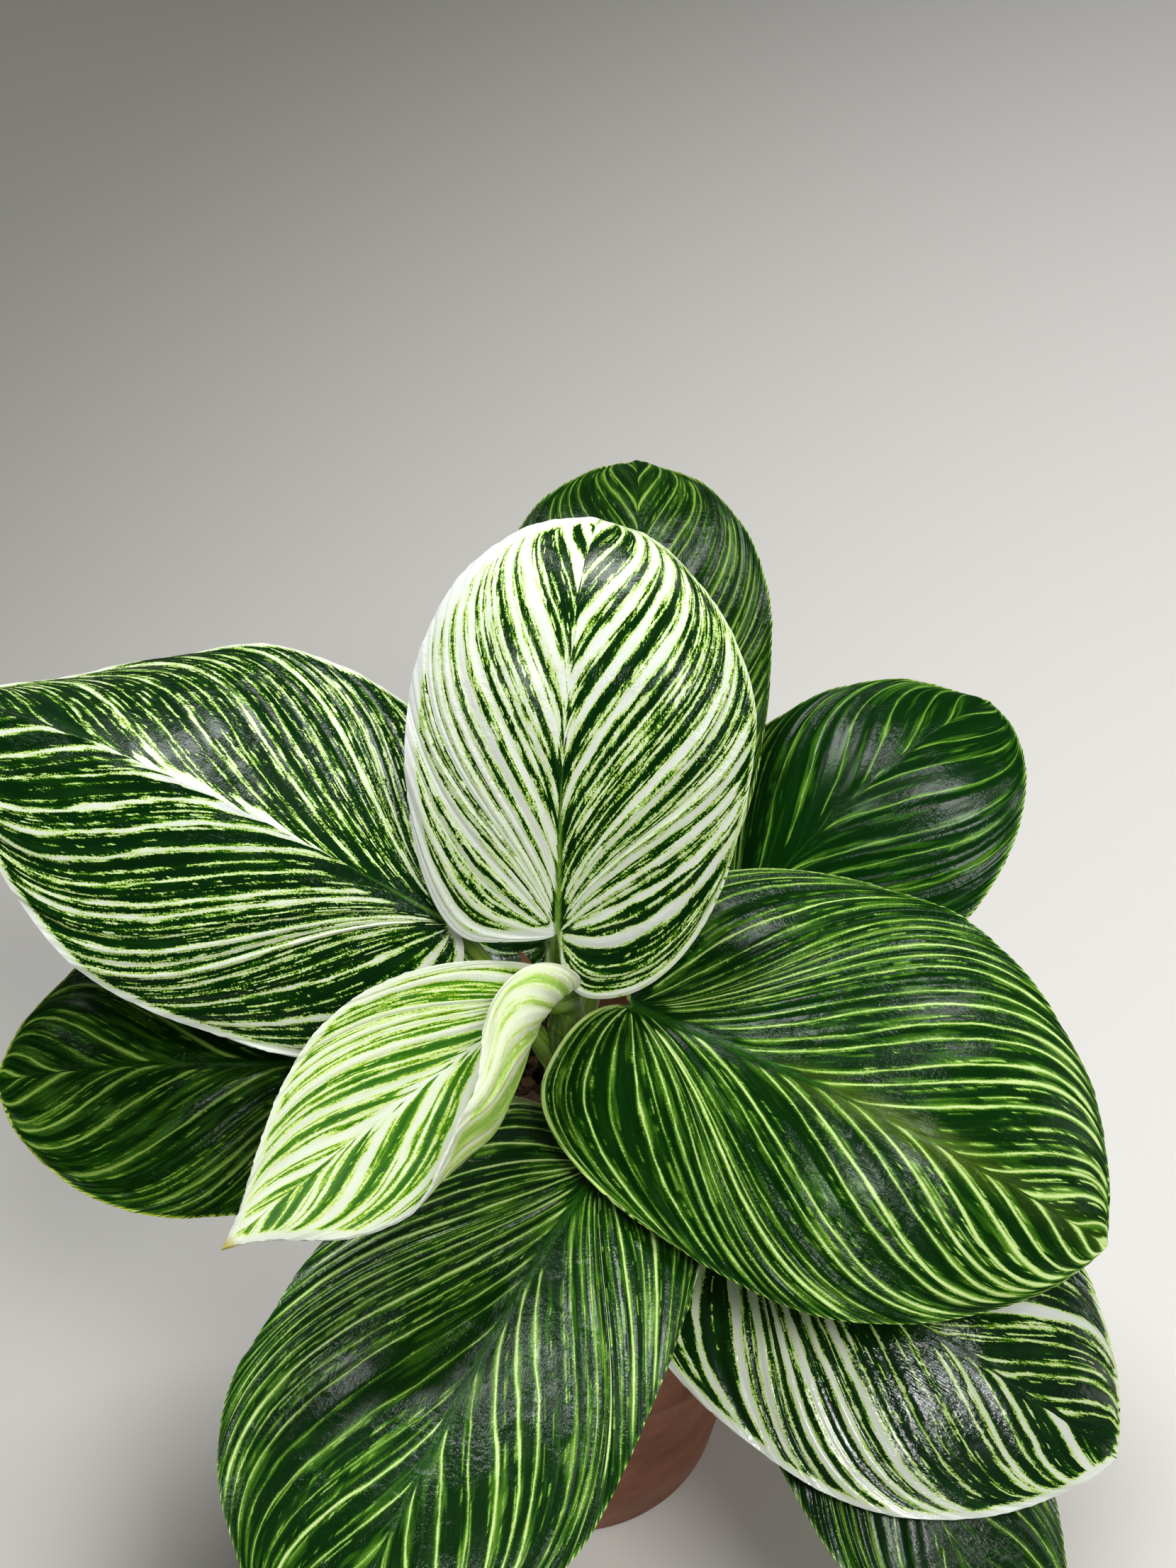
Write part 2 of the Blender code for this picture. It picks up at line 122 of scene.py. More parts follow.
class Board:
    """A node tree with short calls, in which numbers, colours and signals mix freely."""

    def __init__(self, tree):
        self.tree = tree

    def node(self, kind, **settings):
        made = self.tree.nodes.new(kind if kind.startswith("Node") else "ShaderNode" + kind)
        for key, value in settings.items():
            setattr(made, key, value)
        return made

    def feed(self, socket, value):
        """Links a signal or sets a value. A tuple that holds signals is made a vector of
        them, and a tuple for a colour socket is a display colour."""
        if isinstance(value, tuple) and any(isinstance(part, Signal) for part in value):
            value = self.wired("CombineXYZ", dict(enumerate(value)))
        elif isinstance(value, tuple) and socket.type == "RGBA":
            value = tone(*value)
        if isinstance(value, Signal):
            self.tree.links.new(value.socket, socket)
        else:
            socket.default_value = value

    def wired(self, kind, values, output=0, **settings):
        """A new node fed by socket name or number, and one of its outputs as a signal."""
        made = self.node(kind, **settings)
        for label, value in values.items():
            self.feed(made.inputs[label], value)
        return Signal(self, made.outputs[output])

    def math(self, operation, *values):
        return self.wired("Math", dict(enumerate(values)), operation=operation)

    def parts(self, vector):
        """The three numbers of a vector."""
        made = self.node("SeparateXYZ")
        self.feed(made.inputs[0], vector)
        return [Signal(self, output) for output in made.outputs]

    def place(self):
        """Where a point is on its object, in metres."""
        return self.wired("TexCoord", {}, "Object")

    def attribute(self, name, output="Vector"):
        """What a mesh stores at its points under the name."""
        return self.wired("Attribute", {}, output, attribute_name=name)

    def sheet(self):
        """The two numbers of the piece's own UV map."""
        return self.parts(self.wired("UVMap", {}, uv_map="veins"))[:2]

    def noise(self, vector, scale=1.0, detail=2.0, roughness=0.5):
        return self.wired("TexNoise", {"Vector": vector, "Scale": scale, "Detail": detail,
                                       "Roughness": roughness}, "Fac")

    def step(self, value, low, high, first=0.0, last=1.0):
        """Eases from first to last while the value goes from low to high."""
        return self.wired("MapRange", {"Value": value, "From Min": low, "From Max": high,
                                       "To Min": first, "To Max": last},
                          interpolation_type="SMOOTHSTEP")

    def ramp(self, value, stops):
        """A colour that runs through stops of place, red, green and blue."""
        made = self.node("ValToRGB")
        elements = made.color_ramp.elements
        while len(elements) < len(stops):
            elements.new(0.5)
        for element, (place, *color) in zip(elements, stops):
            element.position, element.color = place, tone(*color)
        self.feed(made.inputs[0], value)
        return Signal(self, made.outputs[0])

    def mix(self, share, first, second, mode="MIX"):
        return self.wired("Mix", {0: share, 6: first, 7: second}, 2,
                          data_type="RGBA", blend_type=mode)

    def group(self, tree, **values):
        """A placed node group and its outputs by name."""
        made = self.node("Group", node_tree=tree)
        for label, value in values.items():
            self.feed(made.inputs[label], value)
        return {output.name: Signal(self, output) for output in made.outputs}

    def bump(self, shader, height, strength, distance):
        """Tilts the shading normal as a relief of the distance, in metres, would."""
        self.feed(shader["Normal"], self.wired(
            "Bump", {"Strength": strength, "Distance": distance, "Height": height}))


def shader_group(name, inputs, outputs):
    """An empty group whose inputs are numbers, or vectors where the value is None. Gives the
    group, its board, its inputs as signals, and the sockets of its outputs."""
    tree = bpy.data.node_groups.new(name, "ShaderNodeTree")
    for label, value in inputs.items():
        kind = "NodeSocketVector" if value is None else "NodeSocketFloat"
        made = tree.interface.new_socket(label, in_out="INPUT", socket_type=kind)
        if value is not None:
            made.default_value = value
    for label in outputs:
        tree.interface.new_socket(label, in_out="OUTPUT", socket_type="NodeSocketFloat")
    board = Board(tree)
    entry = board.node("NodeGroupInput").outputs
    given = [Signal(board, entry[label]) for label in inputs]
    return tree, board, given, board.node("NodeGroupOutput").inputs


def new_finish(name, roughness):
    """A material with its board and its Principled shader."""
    made = bpy.data.materials.new(name)
    made.use_nodes = True
    shader = made.node_tree.nodes["Principled BSDF"]
    shader.inputs["Roughness"].default_value = roughness
    return made, Board(made.node_tree), shader.inputs


print("helpers ready; leaf green is", tone(18, 48, 20))

# %% [markdown]
# ## Floor and light
# A pale floor fills the background at this angle, with painted shade that greys it
# towards the left and the back. Glossy leaves mirror every lamp above them, and one broad
# lamp in front would lay a grey veil over their stripes. So the key lamp stands high
# behind on the left, the lamp in front fills the shadows but isn't seen in gloss, and a
# weak one stands at the right. Three small lamps that are seen in gloss alone give the
# sheen that runs over the bends. The far floor and the world look pale to the camera
# only: the far floor's glow lights nothing, and the world adds just a faint even light
# that opens the shadows.

# %% Floor
PAPER = (214, 213, 208)     # the pale studio far behind the plant, as the eye sees it
FLOOR_SIDE, FLOOR_Z = 8.0, -0.0002


def flat_mesh(name, side, height):
    """A square of four corners, side metres wide, level at the height."""
    mesh = bpy.data.meshes.new(name)
    corner = side / 2 * np.array([[-1, -1], [1, -1], [1, 1], [-1, 1]])
    mesh.from_pydata(np.c_[corner, np.full(4, height)].tolist(), [], [(0, 1, 2, 3)])
    made = bpy.data.objects.new(name, mesh)
    bpy.context.scene.collection.objects.link(made)
    return made


floor = flat_mesh("floor", FLOOR_SIDE, FLOOR_Z)
floor_paint, board, shader = new_finish("floor_paint", 0.9)
where = board.place()
x, y, _ = board.parts(where)
# Painted shade: the floor colour goes from pale at the front right to grey towards the left and the
# back.
board.feed(shader["Base Color"], board.ramp(board.step(x - y * 0.55, -0.75, 0.25), [
    (0.0, 146, 144, 137), (1.0, 238, 236, 231)]))
# Beyond the lamps' reach the camera sees the floor fade into the pale studio.
away = board.wired("VectorMath", {0: where}, "Value", operation="LENGTH")
far = board.step(away, 0.95, 1.9) * board.wired("LightPath", {}, "Is Camera Ray")
nodes = floor_paint.node_tree.nodes
near = Signal(board, nodes["Principled BSDF"].outputs[0])
blend = board.wired("MixShader", {0: far, 1: near, 2: board.wired("Emission", {"Color": PAPER})})
board.feed(nodes["Material Output"].inputs["Surface"], blend)
floor.data.materials.append(floor_paint)
print("floor", floor.dimensions[:2])


# %% Lamps
CROWN = (0, 0, 0.19)
WORLD_LIGHT = 0.12


def soft_lamp(name, place, size, power, color=(1, 1, 1), fill=True, gloss=True):
    """A square area lamp turned towards the crown. It can fill, show in gloss, or both."""
    data = bpy.data.lights.new(name, "AREA")
    data.shape, data.size, data.energy, data.color = "SQUARE", size, power, color
    made = bpy.data.objects.new(name, data)
    made.location = place
    way = np.array(CROWN) - np.array(place)
    flat = float(np.hypot(way[0], way[1]))
    made.rotation_euler = (np.arctan2(flat, -way[2]), 0, np.arctan2(way[1], way[0]) - np.pi / 2)
    made.visible_diffuse, made.visible_glossy = fill, gloss
    bpy.context.scene.collection.objects.link(made)


soft_lamp("key", (-0.15, 0.50, 1.27), 0.32, 10.2, (0.98, 0.99, 1.0))
soft_lamp("front", (0.28, -0.55, 1.20), 0.36, 7.2, (1.0, 0.99, 0.97), gloss=False)
soft_lamp("side", (1.1, 0.1, 0.7), 0.6, 2.5)
soft_lamp("glint_front", (0.17, -0.45, 0.96), 0.14, 3.2, fill=False)
soft_lamp("glint_right", (0.41, 0.32, 0.97), 0.16, 2.4, fill=False)
soft_lamp("glint_left", (-0.45, 0.44, 0.87), 0.16, 1.1, fill=False)

world = bpy.data.worlds.new("studio")
world.use_nodes = True
board, sky = Board(world.node_tree), world.node_tree.nodes["Background"].inputs
eye = board.wired("LightPath", {}, "Is Camera Ray")
board.feed(sky["Strength"], eye * (1 - WORLD_LIGHT) + WORLD_LIGHT)
board.feed(sky["Color"], board.mix(eye, (255, 255, 255), PAPER))
bpy.context.scene.world = world
bpy.context.scene.view_settings.view_transform = "Standard"

# %% [markdown]
# ## The shape of one leaf
# A blade could be sculpted by hand, but twelve of them, each at its own angle, are easier
# as one rule with different numbers. The midrib leaves its stalk at a heading and a pitch
# and noses over towards its tip. Half a heart is drawn flat, its side veins sweep from the
# midrib to the margin, and the flat half is carried onto the midrib, folded and curled.

# %% Leaf measures
# Millimetres and degrees, with _r and _l for the right and left halves.
# base: where the stalk meets the blade. heading: 0 is away, 90 is to the right.
# pitch, roll: how steeply the midrib starts up, and how it is banked.
# bend, swerve, power: how far it noses over and turns aside, growing with this power.
# half, lobe, at: width of a half, its hind lobe, and where across the lobe is lowest.
# wide, point, shoulder: the share of the length at which the blade is widest, how narrow
#   it is drawn before the tip, and how full it is beside the lobe.
# fold, curl, level: the angle at which a half leaves the midrib, how far it bends on from
#   there, and the width that stays straight before it bends.
# stem, out, inn: the stalk's start and how far it runs straight at its two ends.
LEAVES = {
    "leaf_01": dict(
        base=(-2, -4, 216), heading=3, pitch=62, bend=75, power=2.4, swerve=12,
        length=104, half_r=43, half_l=36, lobe_r=15, lobe_l=2, at_r=0.2, at_l=0.5,
        wide=0.46, point=-0.15, fold=10, curl=-22,
        stem=(0, 2, 171), out=(0, 6, 14), inn=(0, -2, 16)),
    "leaf_02": dict(
        base=(-26, 2, 212), heading=-68, pitch=20, roll=20, bend=28, power=1.6, swerve=-5,
        length=140, half_r=53, half_l=52, lobe_r=17, lobe_l=8, wide=0.44, point=0.15,
        fold_r=(-5, -7, -37), fold_l=(-18, -8, -5), curl=-25,
        stem=(-2, -1, 164), out=(-10, 0, 18), inn=(-10, 3, 12)),
    "leaf_03": dict(
        base=(18, 50, 200), heading=0, pitch=45, bend=60, power=1.6,
        length=108, half_r=34, half_l=38, lobe_r=14, lobe_l=14, wide=0.48, point=0.0,
        fold=8, curl=-22,
        stem=(1, 3, 146), out=(3, 16, 22), inn=(3, 14, 14)),
    "leaf_04": dict(
        base=(38, 31, 170), heading=58, pitch=46, bend=60, power=1.6, swerve=-10,
        length=101, half_r=46, half_l=37, lobe_r=18, lobe_l=18, wide=0.45, point=-0.15,
        fold=8, curl=-22,
        stem=(2, 2, 134), out=(14, 9, 18), inn=(9, 6, 12)),
    "leaf_05": dict(
        base=(15, -9, 196), heading=121, pitch=5, roll=-20, bend=45, power=1.5,
        length=124, half_r=48, half_l=58, lobe_r=12, lobe_l=6, wide=0.44, point=-0.15,
        fold=0, curl=-25,
        stem=(2, -1, 158), out=(10, -2, 18), inn=(4, -3, 10)),
    "leaf_06": dict(
        base=(-50, -2, 164), heading=-97, pitch=12, roll=20, bend=35, power=1.6,
        length=92, half_r=40, half_l=37, lobe_r=17, lobe_l=17, wide=0.46, point=-0.35,
        fold=0, curl=-20,
        stem=(-3, 0, 137), out=(-16, 0, 14), inn=(-14, 0, 6)),
    "leaf_07": dict(
        base=(-3.5, -11, 203.5), heading=-139, pitch=9, roll=10, bend=12, power=1.5,
        length=100, half_r=26, half_l=40, lobe_r=3, lobe_l=3, wide=0.42, point=0.9,
        shoulder=0.15, at_r=0.2, at_l=0.2, fold_r=5, fold_l=(30, 10, 10),
        curl_r=(40, -5, -20), curl_l=(410, 245, 0), level_l=(2, 15, 12),
        stem=(0, 0, 186), out=(1, -3, 6), inn=(1, 1, 6)),
    "leaf_08": dict(
        base=(8, -34, 168), heading=-155, pitch=12, bend=40, power=1.5,
        length=140, half_r=53, half_l=38, lobe_r=13, lobe_l=13, wide=0.55, point=0.1,
        fold=0, curl=-25,
        stem=(1, -3, 142), out=(3, -14, 12), inn=(2, -10, 6)),
    "leaf_09": dict(
        base=(38, -32, 146), heading=124, pitch=0, roll=-15, bend=30, power=1.5,
        length=108, half_r=45, half_l=46, lobe_r=13, lobe_l=20, wide=0.44, point=-0.2,
        fold=0, curl=-20,
        stem=(3, -2, 122), out=(16, -10, 14), inn=(12, -9, 5)),
    "leaf_10": dict(
        base=(58, -50, 130), heading=150, pitch=-8, roll=-10, bend=30, power=1.5,
        length=104, half_r=26, half_l=31, lobe_r=16, lobe_l=16, wide=0.42, point=0.1,
        fold=0, curl=-20,
        stem=(3, -2, 110), out=(22, -18, 16), inn=(16, -14, 3)),
    "leaf_11": dict(
        base=(3, -18, 130), heading=151, pitch=-6, bend=15, power=1.5,
        length=44, half_r=15, half_l=13, lobe_r=6, lobe_l=6, wide=0.4, point=0.3,
        fold=6, curl=-20,
        stem=(-1, -2, 113), out=(0, -10, 10), inn=(1, -4, 8)),
    "leaf_12": dict(
        base=(-6, 58, 141), heading=-14, pitch=14, bend=45, power=1.5,
        length=88, half_r=31, half_l=31, lobe_r=13, lobe_l=13, wide=0.46, point=0.0,
        fold=6, curl=-20,
        stem=(-1, 3, 127), out=(-1, 16, 14), inn=(-1, 12, 2)),
}
print("leaves:", len(LEAVES), "longest", max(leaf["length"] for leaf in LEAVES.values()), "mm")


# %% Curves used by every leaf
LOBE_AT, SHOULDER = 0.46, 0.67      # at and shoulder of a leaf that doesn't give its own


def bezier(a, b, c, d, t):
    """Points of a cubic: the four corners weighed by powers of t and 1 - t."""
    return (1 - t) ** 3 * a + 3 * (1 - t) ** 2 * t * b + 3 * (1 - t) * t ** 2 * c + t ** 3 * d


def ease(x):
    """0 below 0, 1 above 1, and three x squared less two x cubed between."""
    x = np.clip(x, 0, 1)
    return x * x * (3 - 2 * x)


def along(values, u):
    """A value eased between (base, middle, tip), or the same number all along."""
    v = np.atleast_1d(np.asarray(values, float))
    if len(v) == 1:
        return np.full_like(u, v[0])
    return np.where(u < 0.5, v[0] + (v[1] - v[0]) * ease(2 * u),
                    v[1] + (v[2] - v[1]) * ease(2 * u - 1))


def unit(v):
    """Each vector divided by its length."""
    return v / np.maximum(np.linalg.norm(v, axis=-1, keepdims=True), 1e-12)


def margin_line(half, length, lobe, wide, point, at, shoulder):
    """Half a heart laid flat, as three cubics: notch to lobe, lobe to the widest place,
    widest place to tip. Gives the points and each one's share of the whole run."""
    y = wide * length
    corners = np.array([
        [(0, 0), (0.09 * at * half, -0.75 * lobe), (0.48 * at * half, -lobe), (at * half, -lobe)],
        [(at * half, -lobe), ((at + shoulder * (1 - at)) * half, -lobe),
         (half, y - 0.42 * (y + lobe)), (half, y)],
        [(half, y), (half, y + 0.42 * (length - y)),
         ((0.52 - 0.34 * point) * half, length * (0.90 - 0.06 * point)), (0, length)],
    ], float)
    t = np.linspace(0, 1, 400)[:, None]
    line = np.concatenate([bezier(*c, t)[(0 if k == 0 else 1):] for k, c in enumerate(corners)])
    run = np.concatenate([[0], np.cumsum(np.linalg.norm(np.diff(line, axis=0), axis=1))])
    return line, run / run[-1]


sample = margin_line(40, 100, 15, 0.45, 0, LOBE_AT, SHOULDER)
print("a margin reaches", sample[0][:, 0].max().round(1), "mm out and",
      -sample[0][:, 1].min().round(1), "mm back")


# %% Side veins laid flat
FAN = 0.38          # share of the veins that start together where the stalk meets the blade
FIRST_END = 0.34    # where along the margin the first vein ends
VEIN_ROWS = 128
VEIN_COLS = 40


def vein_sheet(line, share, length, rows, cols):
    """Rows of side veins, each a cubic from the midrib to the margin. After the fan, roots
    are spread along the midrib by their share to the power 3.4. A vein leaves the midrib
    nearly along it, swings out, and bends towards the tip again as it meets the margin.
    The first rows are drawn towards the margin itself, so that the lobes are filled."""
    on = lambda s: np.stack([np.interp(s, share, line[:, k]) for k in (0, 1)], -1)
    tau, t = np.linspace(0, 1, rows), np.linspace(0, 1, cols)
    ends = FIRST_END + (1 - FIRST_END) * tau
    root = np.stack([0 * tau, length * np.clip((tau - FAN) / (1 - FAN), 0, 1) ** 3.4], 1)
    edge = on(ends)
    tangent = unit(on(np.clip(ends + 0.004, 0, 1)) - on(np.clip(ends - 0.004, 0, 1)))
    span = np.linalg.norm(edge - root, axis=1)[:, None]
    leave = np.radians(np.interp(tau, [0, FAN / 2, FAN, 1], [128, 66, 22, 5]))
    turn = np.radians(np.interp(tau, [0, 0.5, 1], [26, 18, 8]))
    arrive = np.stack([np.cos(turn) * tangent[:, 0] + np.sin(turn) * tangent[:, 1],
                       np.cos(turn) * tangent[:, 1] - np.sin(turn) * tangent[:, 0]], 1)
    near = root + 0.38 * span * np.stack([np.sin(leave), np.cos(leave)], 1)
    far = edge - 0.40 * span * arrive
    swing = bezier(root[:, None], near[:, None], far[:, None], edge[:, None], t[None, :, None])
    hug = on(t[None, :] * ends[:, None])
    w = ease(tau / 0.30)[:, None, None] ** 0.8
    return (1 - w) * hug + w * swing


flat = vein_sheet(*sample, 100, 40, 20)
print("vein grid", flat.shape, "widest", flat[..., 0].max().round(1))


# %% Midrib and the way into space
def midrib(leaf, steps=240):
    """Points of the midrib with its forward, sideways and upward directions. At each
    station the direction nods down and swerves by its share of the whole: power times the
    way along to one less than the power, divided by the number of steps."""
    h, p, r = np.radians([leaf["heading"], leaf["pitch"], leaf.get("roll", 0)])
    fore = np.array([np.cos(p) * np.sin(h), np.cos(p) * np.cos(h), np.sin(p)])
    rise = np.array([-np.sin(p) * np.sin(h), -np.sin(p) * np.cos(h), np.cos(p)])
    side = np.cross(fore, rise)
    side, rise = np.cos(r) * side + np.sin(r) * rise, np.cos(r) * rise - np.sin(r) * side
    power, spot = leaf["power"], np.array(leaf["base"], float)
    rows = [(spot, fore, side, rise)]
    for k in range(steps):
        rate = power * ((k + 0.5) / steps) ** (power - 1) / steps
        nod = np.radians(leaf["bend"]) * rate
        yaw = np.radians(leaf.get("swerve", 0)) * rate
        ahead = unit(fore - nod * rise + yaw * side)
        rise = unit(np.cross(side, ahead))
        spot = spot + (fore + ahead) / 2 * leaf["length"] / steps
        fore, side = ahead, np.cross(ahead, rise)
        rows.append((spot, fore, side, rise))
    return [np.array(col) for col in zip(*rows)]


def in_space(flat, sign, leaf, frames):
    """Flat points of one half carried onto the midrib: each cross row leaves the midrib at
    its fold angle and bends on by its curl, as an arc, and y runs along the midrib."""
    name = "_r" if sign > 0 else "_l"
    u = np.linspace(0, 1, len(frames[0]))
    v = np.clip(flat[..., 1] / leaf["length"], 0, 1)
    spot, fore, side, rise = (
        np.stack([np.interp(v, u, f[:, k]) for k in range(3)], -1) for f in frames)
    spot = spot + np.minimum(flat[..., 1], 0)[..., None] * fore
    fold = np.radians(along(leaf.get("fold" + name, leaf.get("fold", 0)), v))
    curl = np.radians(along(leaf.get("curl" + name, leaf.get("curl", 0)), v)) / leaf["half" + name]
    curl = np.where(np.abs(curl) < 1e-9, 1e-9, curl)
    level = np.minimum(flat[..., 0], along(leaf.get("level" + name, 0), v))
    x = flat[..., 0] - level
    out = level * np.cos(fold) + (np.sin(fold + curl * x) - np.sin(fold)) / curl
    up = level * np.sin(fold) + (np.cos(fold) - np.cos(fold + curl * x)) / curl
    return spot + sign * out[..., None] * side + up[..., None] * rise


print("leaf_05 tip at", midrib(LEAVES["leaf_05"])[0][-1].round(0))

# %% [markdown]
# ## Meshes from arrays
# Every surface here is a grid of points, so one helper turns a grid into faces. One sets
# points about the upright axis, for the stem, the soil and the pot, and one carries round
# sections along a path, for the stalks. The two grids of a leaf are then welded along the
# midrib, given their thickness and joined with their stalk.

# %% Grid and tube helpers
def grid_faces(rows, cols, start=0, flip=False, wrap=False):
    """Quads between neighbouring rows and columns; wrap joins the last column to the first."""
    number = start + np.arange(rows * cols).reshape(rows, cols)
    if wrap:
        number = np.concatenate([number, number[:, :1]], 1)
    quads = np.stack([number[:-1, :-1], number[:-1, 1:], number[1:, 1:], number[1:, :-1]], -1)
    return quads.reshape(-1, 4)[:, ::-1 if flip else 1]


def turned(radius, angle, height):
    """Points about the upright axis: radius times cosine, radius times sine, height."""
    flat = radius * np.cos(angle), radius * np.sin(angle)
    return np.stack(np.broadcast_arrays(*flat, height), -1)


def capped(rings):
    """The rings of a tube with one more at each end, shrunk to that end's middle."""
    sides = rings.shape[1]
    first, last = (rings[k].mean(0)[None, None].repeat(sides, 1) for k in (0, -1))
    return np.concatenate([first, rings, last])


def tube_grid(path, radii, reference, sides, squash):
    """Rings round a path: across = reference less its part along the path, and each ring
    point is the path plus radius times (cos across + sin times the third direction)."""
    ahead = unit(np.gradient(path, axis=0))
    across = unit(reference - (ahead @ reference)[:, None] * ahead)
    over = np.cross(across, ahead)
    turn = np.linspace(0, 2 * np.pi, sides, endpoint=False)
    ring = (np.cos(turn)[None, :, None] * across[:, None]
            + squash * np.sin(turn)[None, :, None] * over[:, None])
    return path[:, None] + np.asarray(radii)[:, None, None] * ring


def make_piece(name, points, faces, uvs=None, places=None, paces=None):
    """A mesh object from arrays in millimetres. A piece with veins also has their UV map,
    and the two rows of numbers that the leaf finishes read at each point."""
    mesh = bpy.data.meshes.new(name)
    mesh.from_pydata((np.asarray(points) * MM).tolist(), [], [tuple(f) for f in faces])
    if uvs is not None:
        corner = np.empty(len(mesh.loops), np.int32)
        mesh.loops.foreach_get("vertex_index", corner)
        layer = mesh.uv_layers.new(name="veins")
        layer.data.foreach_set("uv", np.asarray(uvs, np.float32)[corner].ravel())
    for label, rows in (("place", places), ("pace", paces)):
        if rows is not None:
            layer = mesh.attributes.new(label, "FLOAT_VECTOR", "POINT")
            layer.data.foreach_set("vector", np.asarray(rows, np.float32).ravel())
    made = bpy.data.objects.new(name, mesh)
    bpy.context.scene.collection.objects.link(made)
    return made


def welded(piece, within=0.00001, outward=True):
    """Points that coincide are merged, collapsed faces go, and outward turns the normals
    of a closed piece outwards."""
    work = bmesh.new()
    work.from_mesh(piece.data)
    bmesh.ops.remove_doubles(work, verts=work.verts, dist=within)
    bmesh.ops.dissolve_degenerate(work, edges=work.edges, dist=within / 4)
    if outward:
        bmesh.ops.recalc_face_normals(work, faces=work.faces)
    work.to_mesh(piece.data)
    work.free()
    return piece


def applied(piece):
    """The piece with its modifiers made part of its mesh."""
    bpy.context.view_layer.update()
    graph = bpy.context.evaluated_depsgraph_get()
    mesh = bpy.data.meshes.new_from_object(piece.evaluated_get(graph))
    piece.modifiers.clear()
    piece.data = mesh
    return piece


def joined(first, second):
    """The second piece's mesh added to the first. Faces keep the number of their slot."""
    work = bmesh.new()
    work.from_mesh(first.data)
    work.from_mesh(second.data)
    work.to_mesh(first.data)
    work.free()
    bpy.data.objects.remove(second, do_unlink=True)
    return first


print("3 rows of 4 points make", len(grid_faces(3, 4)), "faces, or",
      len(grid_faces(3, 4, wrap=True)), "when wrapped")

# %% [markdown]
# ## Relief of a blade
# A smooth heart would look like plastic. The blade of this plant is gently ribbed along
# its side veins, sunk along the midrib and wavy towards its margin. These swells are real
# geometry, because they bend the highlights and show against the light from the side.

# %% Relief
def ridges(tau, t, seed):
    """Ribs across the veins: four sines of different pace, damped at midrib and margin."""
    rng = np.random.default_rng(seed)
    pace = np.array([11, 17, 26, 39]) + rng.uniform(-1, 1, 4)
    size = np.array([0.34, 0.26, 0.20, 0.12])
    start = rng.uniform(0, 2 * np.pi, 4)
    wave = (size * np.sin(2 * np.pi * pace * tau[..., None] + start)).sum(-1)
    return wave * ease(t / 0.25) * (1 - 0.5 * ease((t - 0.8) / 0.2))


def waves(tau, t, seed, size):
    """Slow waves of the margin: two sines round the edge, growing with the cube of t."""
    rng = np.random.default_rng(seed + 100)
    a, b = rng.uniform(0, 2 * np.pi, 2)
    return size * t ** 3 * (np.sin(2 * np.pi * 2.2 * tau + a) + 0.6 * np.sin(2 * np.pi * 4.7 * tau + b))


def surface_normals(points, sign):
    """Cross product of the two grid directions, made one long and turned by the sign."""
    across = np.gradient(points, axis=0)
    outward = np.gradient(points, axis=1)
    return unit(np.cross(outward, across)) * sign


print("ribs of", ridges(np.linspace(0, 1, 50), np.full(50, 0.5), 1).max().round(2), "mm")


# %% Blade
CROWD = 0.2     # extra vein numbers gathered at the tip, where the side veins stand closest
LEFT_FROM = 3   # the vein number that the left half starts from, so that its stripes differ
RELIEF, WAVY, GROOVE = 0.45, 0.5, 0.45      # millimetres: ribs, margin waves, midrib groove


def blade(name, leaf, frames):
    """Both halves of a blade as vein grids, raised by their relief. The UV map is the vein
    number and the way along it. The number is tau, the vein's share of the rows, plus CROWD
    times tau to the eighth. place holds distance to midrib, to margin and the share of the
    length. pace holds millimetres a vein number (the step to the next vein less its part
    along the vein, divided by 1 + 8 CROWD times tau to the seventh) and millimetres run
    along the vein."""
    points, faces, uvs, places, paces = [], [], [], [], []
    seed = int(name[5:7])
    tau, t = np.meshgrid(np.linspace(0, 1, VEIN_ROWS), np.linspace(0, 1, VEIN_COLS), indexing="ij")
    for sign, tag in ((1, "_r"), (-1, "_l")):
        line, share = margin_line(
            leaf["half" + tag], leaf["length"], leaf["lobe" + tag], leaf["wide"], leaf["point"],
            leaf.get("at" + tag, LOBE_AT), leaf.get("shoulder", SHOULDER))
        flat = vein_sheet(line, share, leaf["length"], VEIN_ROWS, VEIN_COLS)
        out, length = flat[..., 0], flat[..., 1] / leaf["length"]
        body = in_space(flat, sign, leaf, frames)
        groove = -GROOVE * np.exp(-(out / 1.5) ** 2) * ease((0.9 - length) / 0.5)
        lift = (RELIEF * ridges(tau, t, seed * 2 + sign) + groove
                + waves(tau, t, seed * 2 + sign, WAVY))
        lift = np.where(out < 0.05, groove.min(), lift) * np.clip(out / 2, 0, 1)
        body = body + surface_normals(body, sign) * lift[..., None]
        edge = np.linalg.norm(flat[:, :, None] - line[None, None, ::12], axis=-1).min(-1)
        step, way = np.gradient(flat, 1 / (VEIN_ROWS - 1), axis=0), unit(np.gradient(flat, axis=1))
        pitch = np.abs(step[..., 0] * way[..., 1] - step[..., 1] * way[..., 0])
        pitch = pitch / (1 + 8 * CROWD * tau ** 7)
        hops = np.linalg.norm(np.diff(flat, axis=1), axis=-1)
        run = np.concatenate([np.zeros((VEIN_ROWS, 1)), np.cumsum(hops, axis=1)], 1)
        number = tau + CROWD * tau ** 8 + (0 if sign > 0 else LEFT_FROM)
        faces.append(grid_faces(VEIN_ROWS, VEIN_COLS, len(points) * tau.size, flip=sign < 0))
        points.append(body.reshape(-1, 3))
        uvs.append(np.stack([number, t], -1).reshape(-1, 2))
        places.append(np.stack([out, edge, length], -1).reshape(-1, 3))
        paces.append(np.stack([pitch, run, 0 * run], -1).reshape(-1, 3))
    made = make_piece(name, *(np.concatenate(rows) for rows in (points, faces, uvs, places, paces)))
    return welded(made, outward=False)


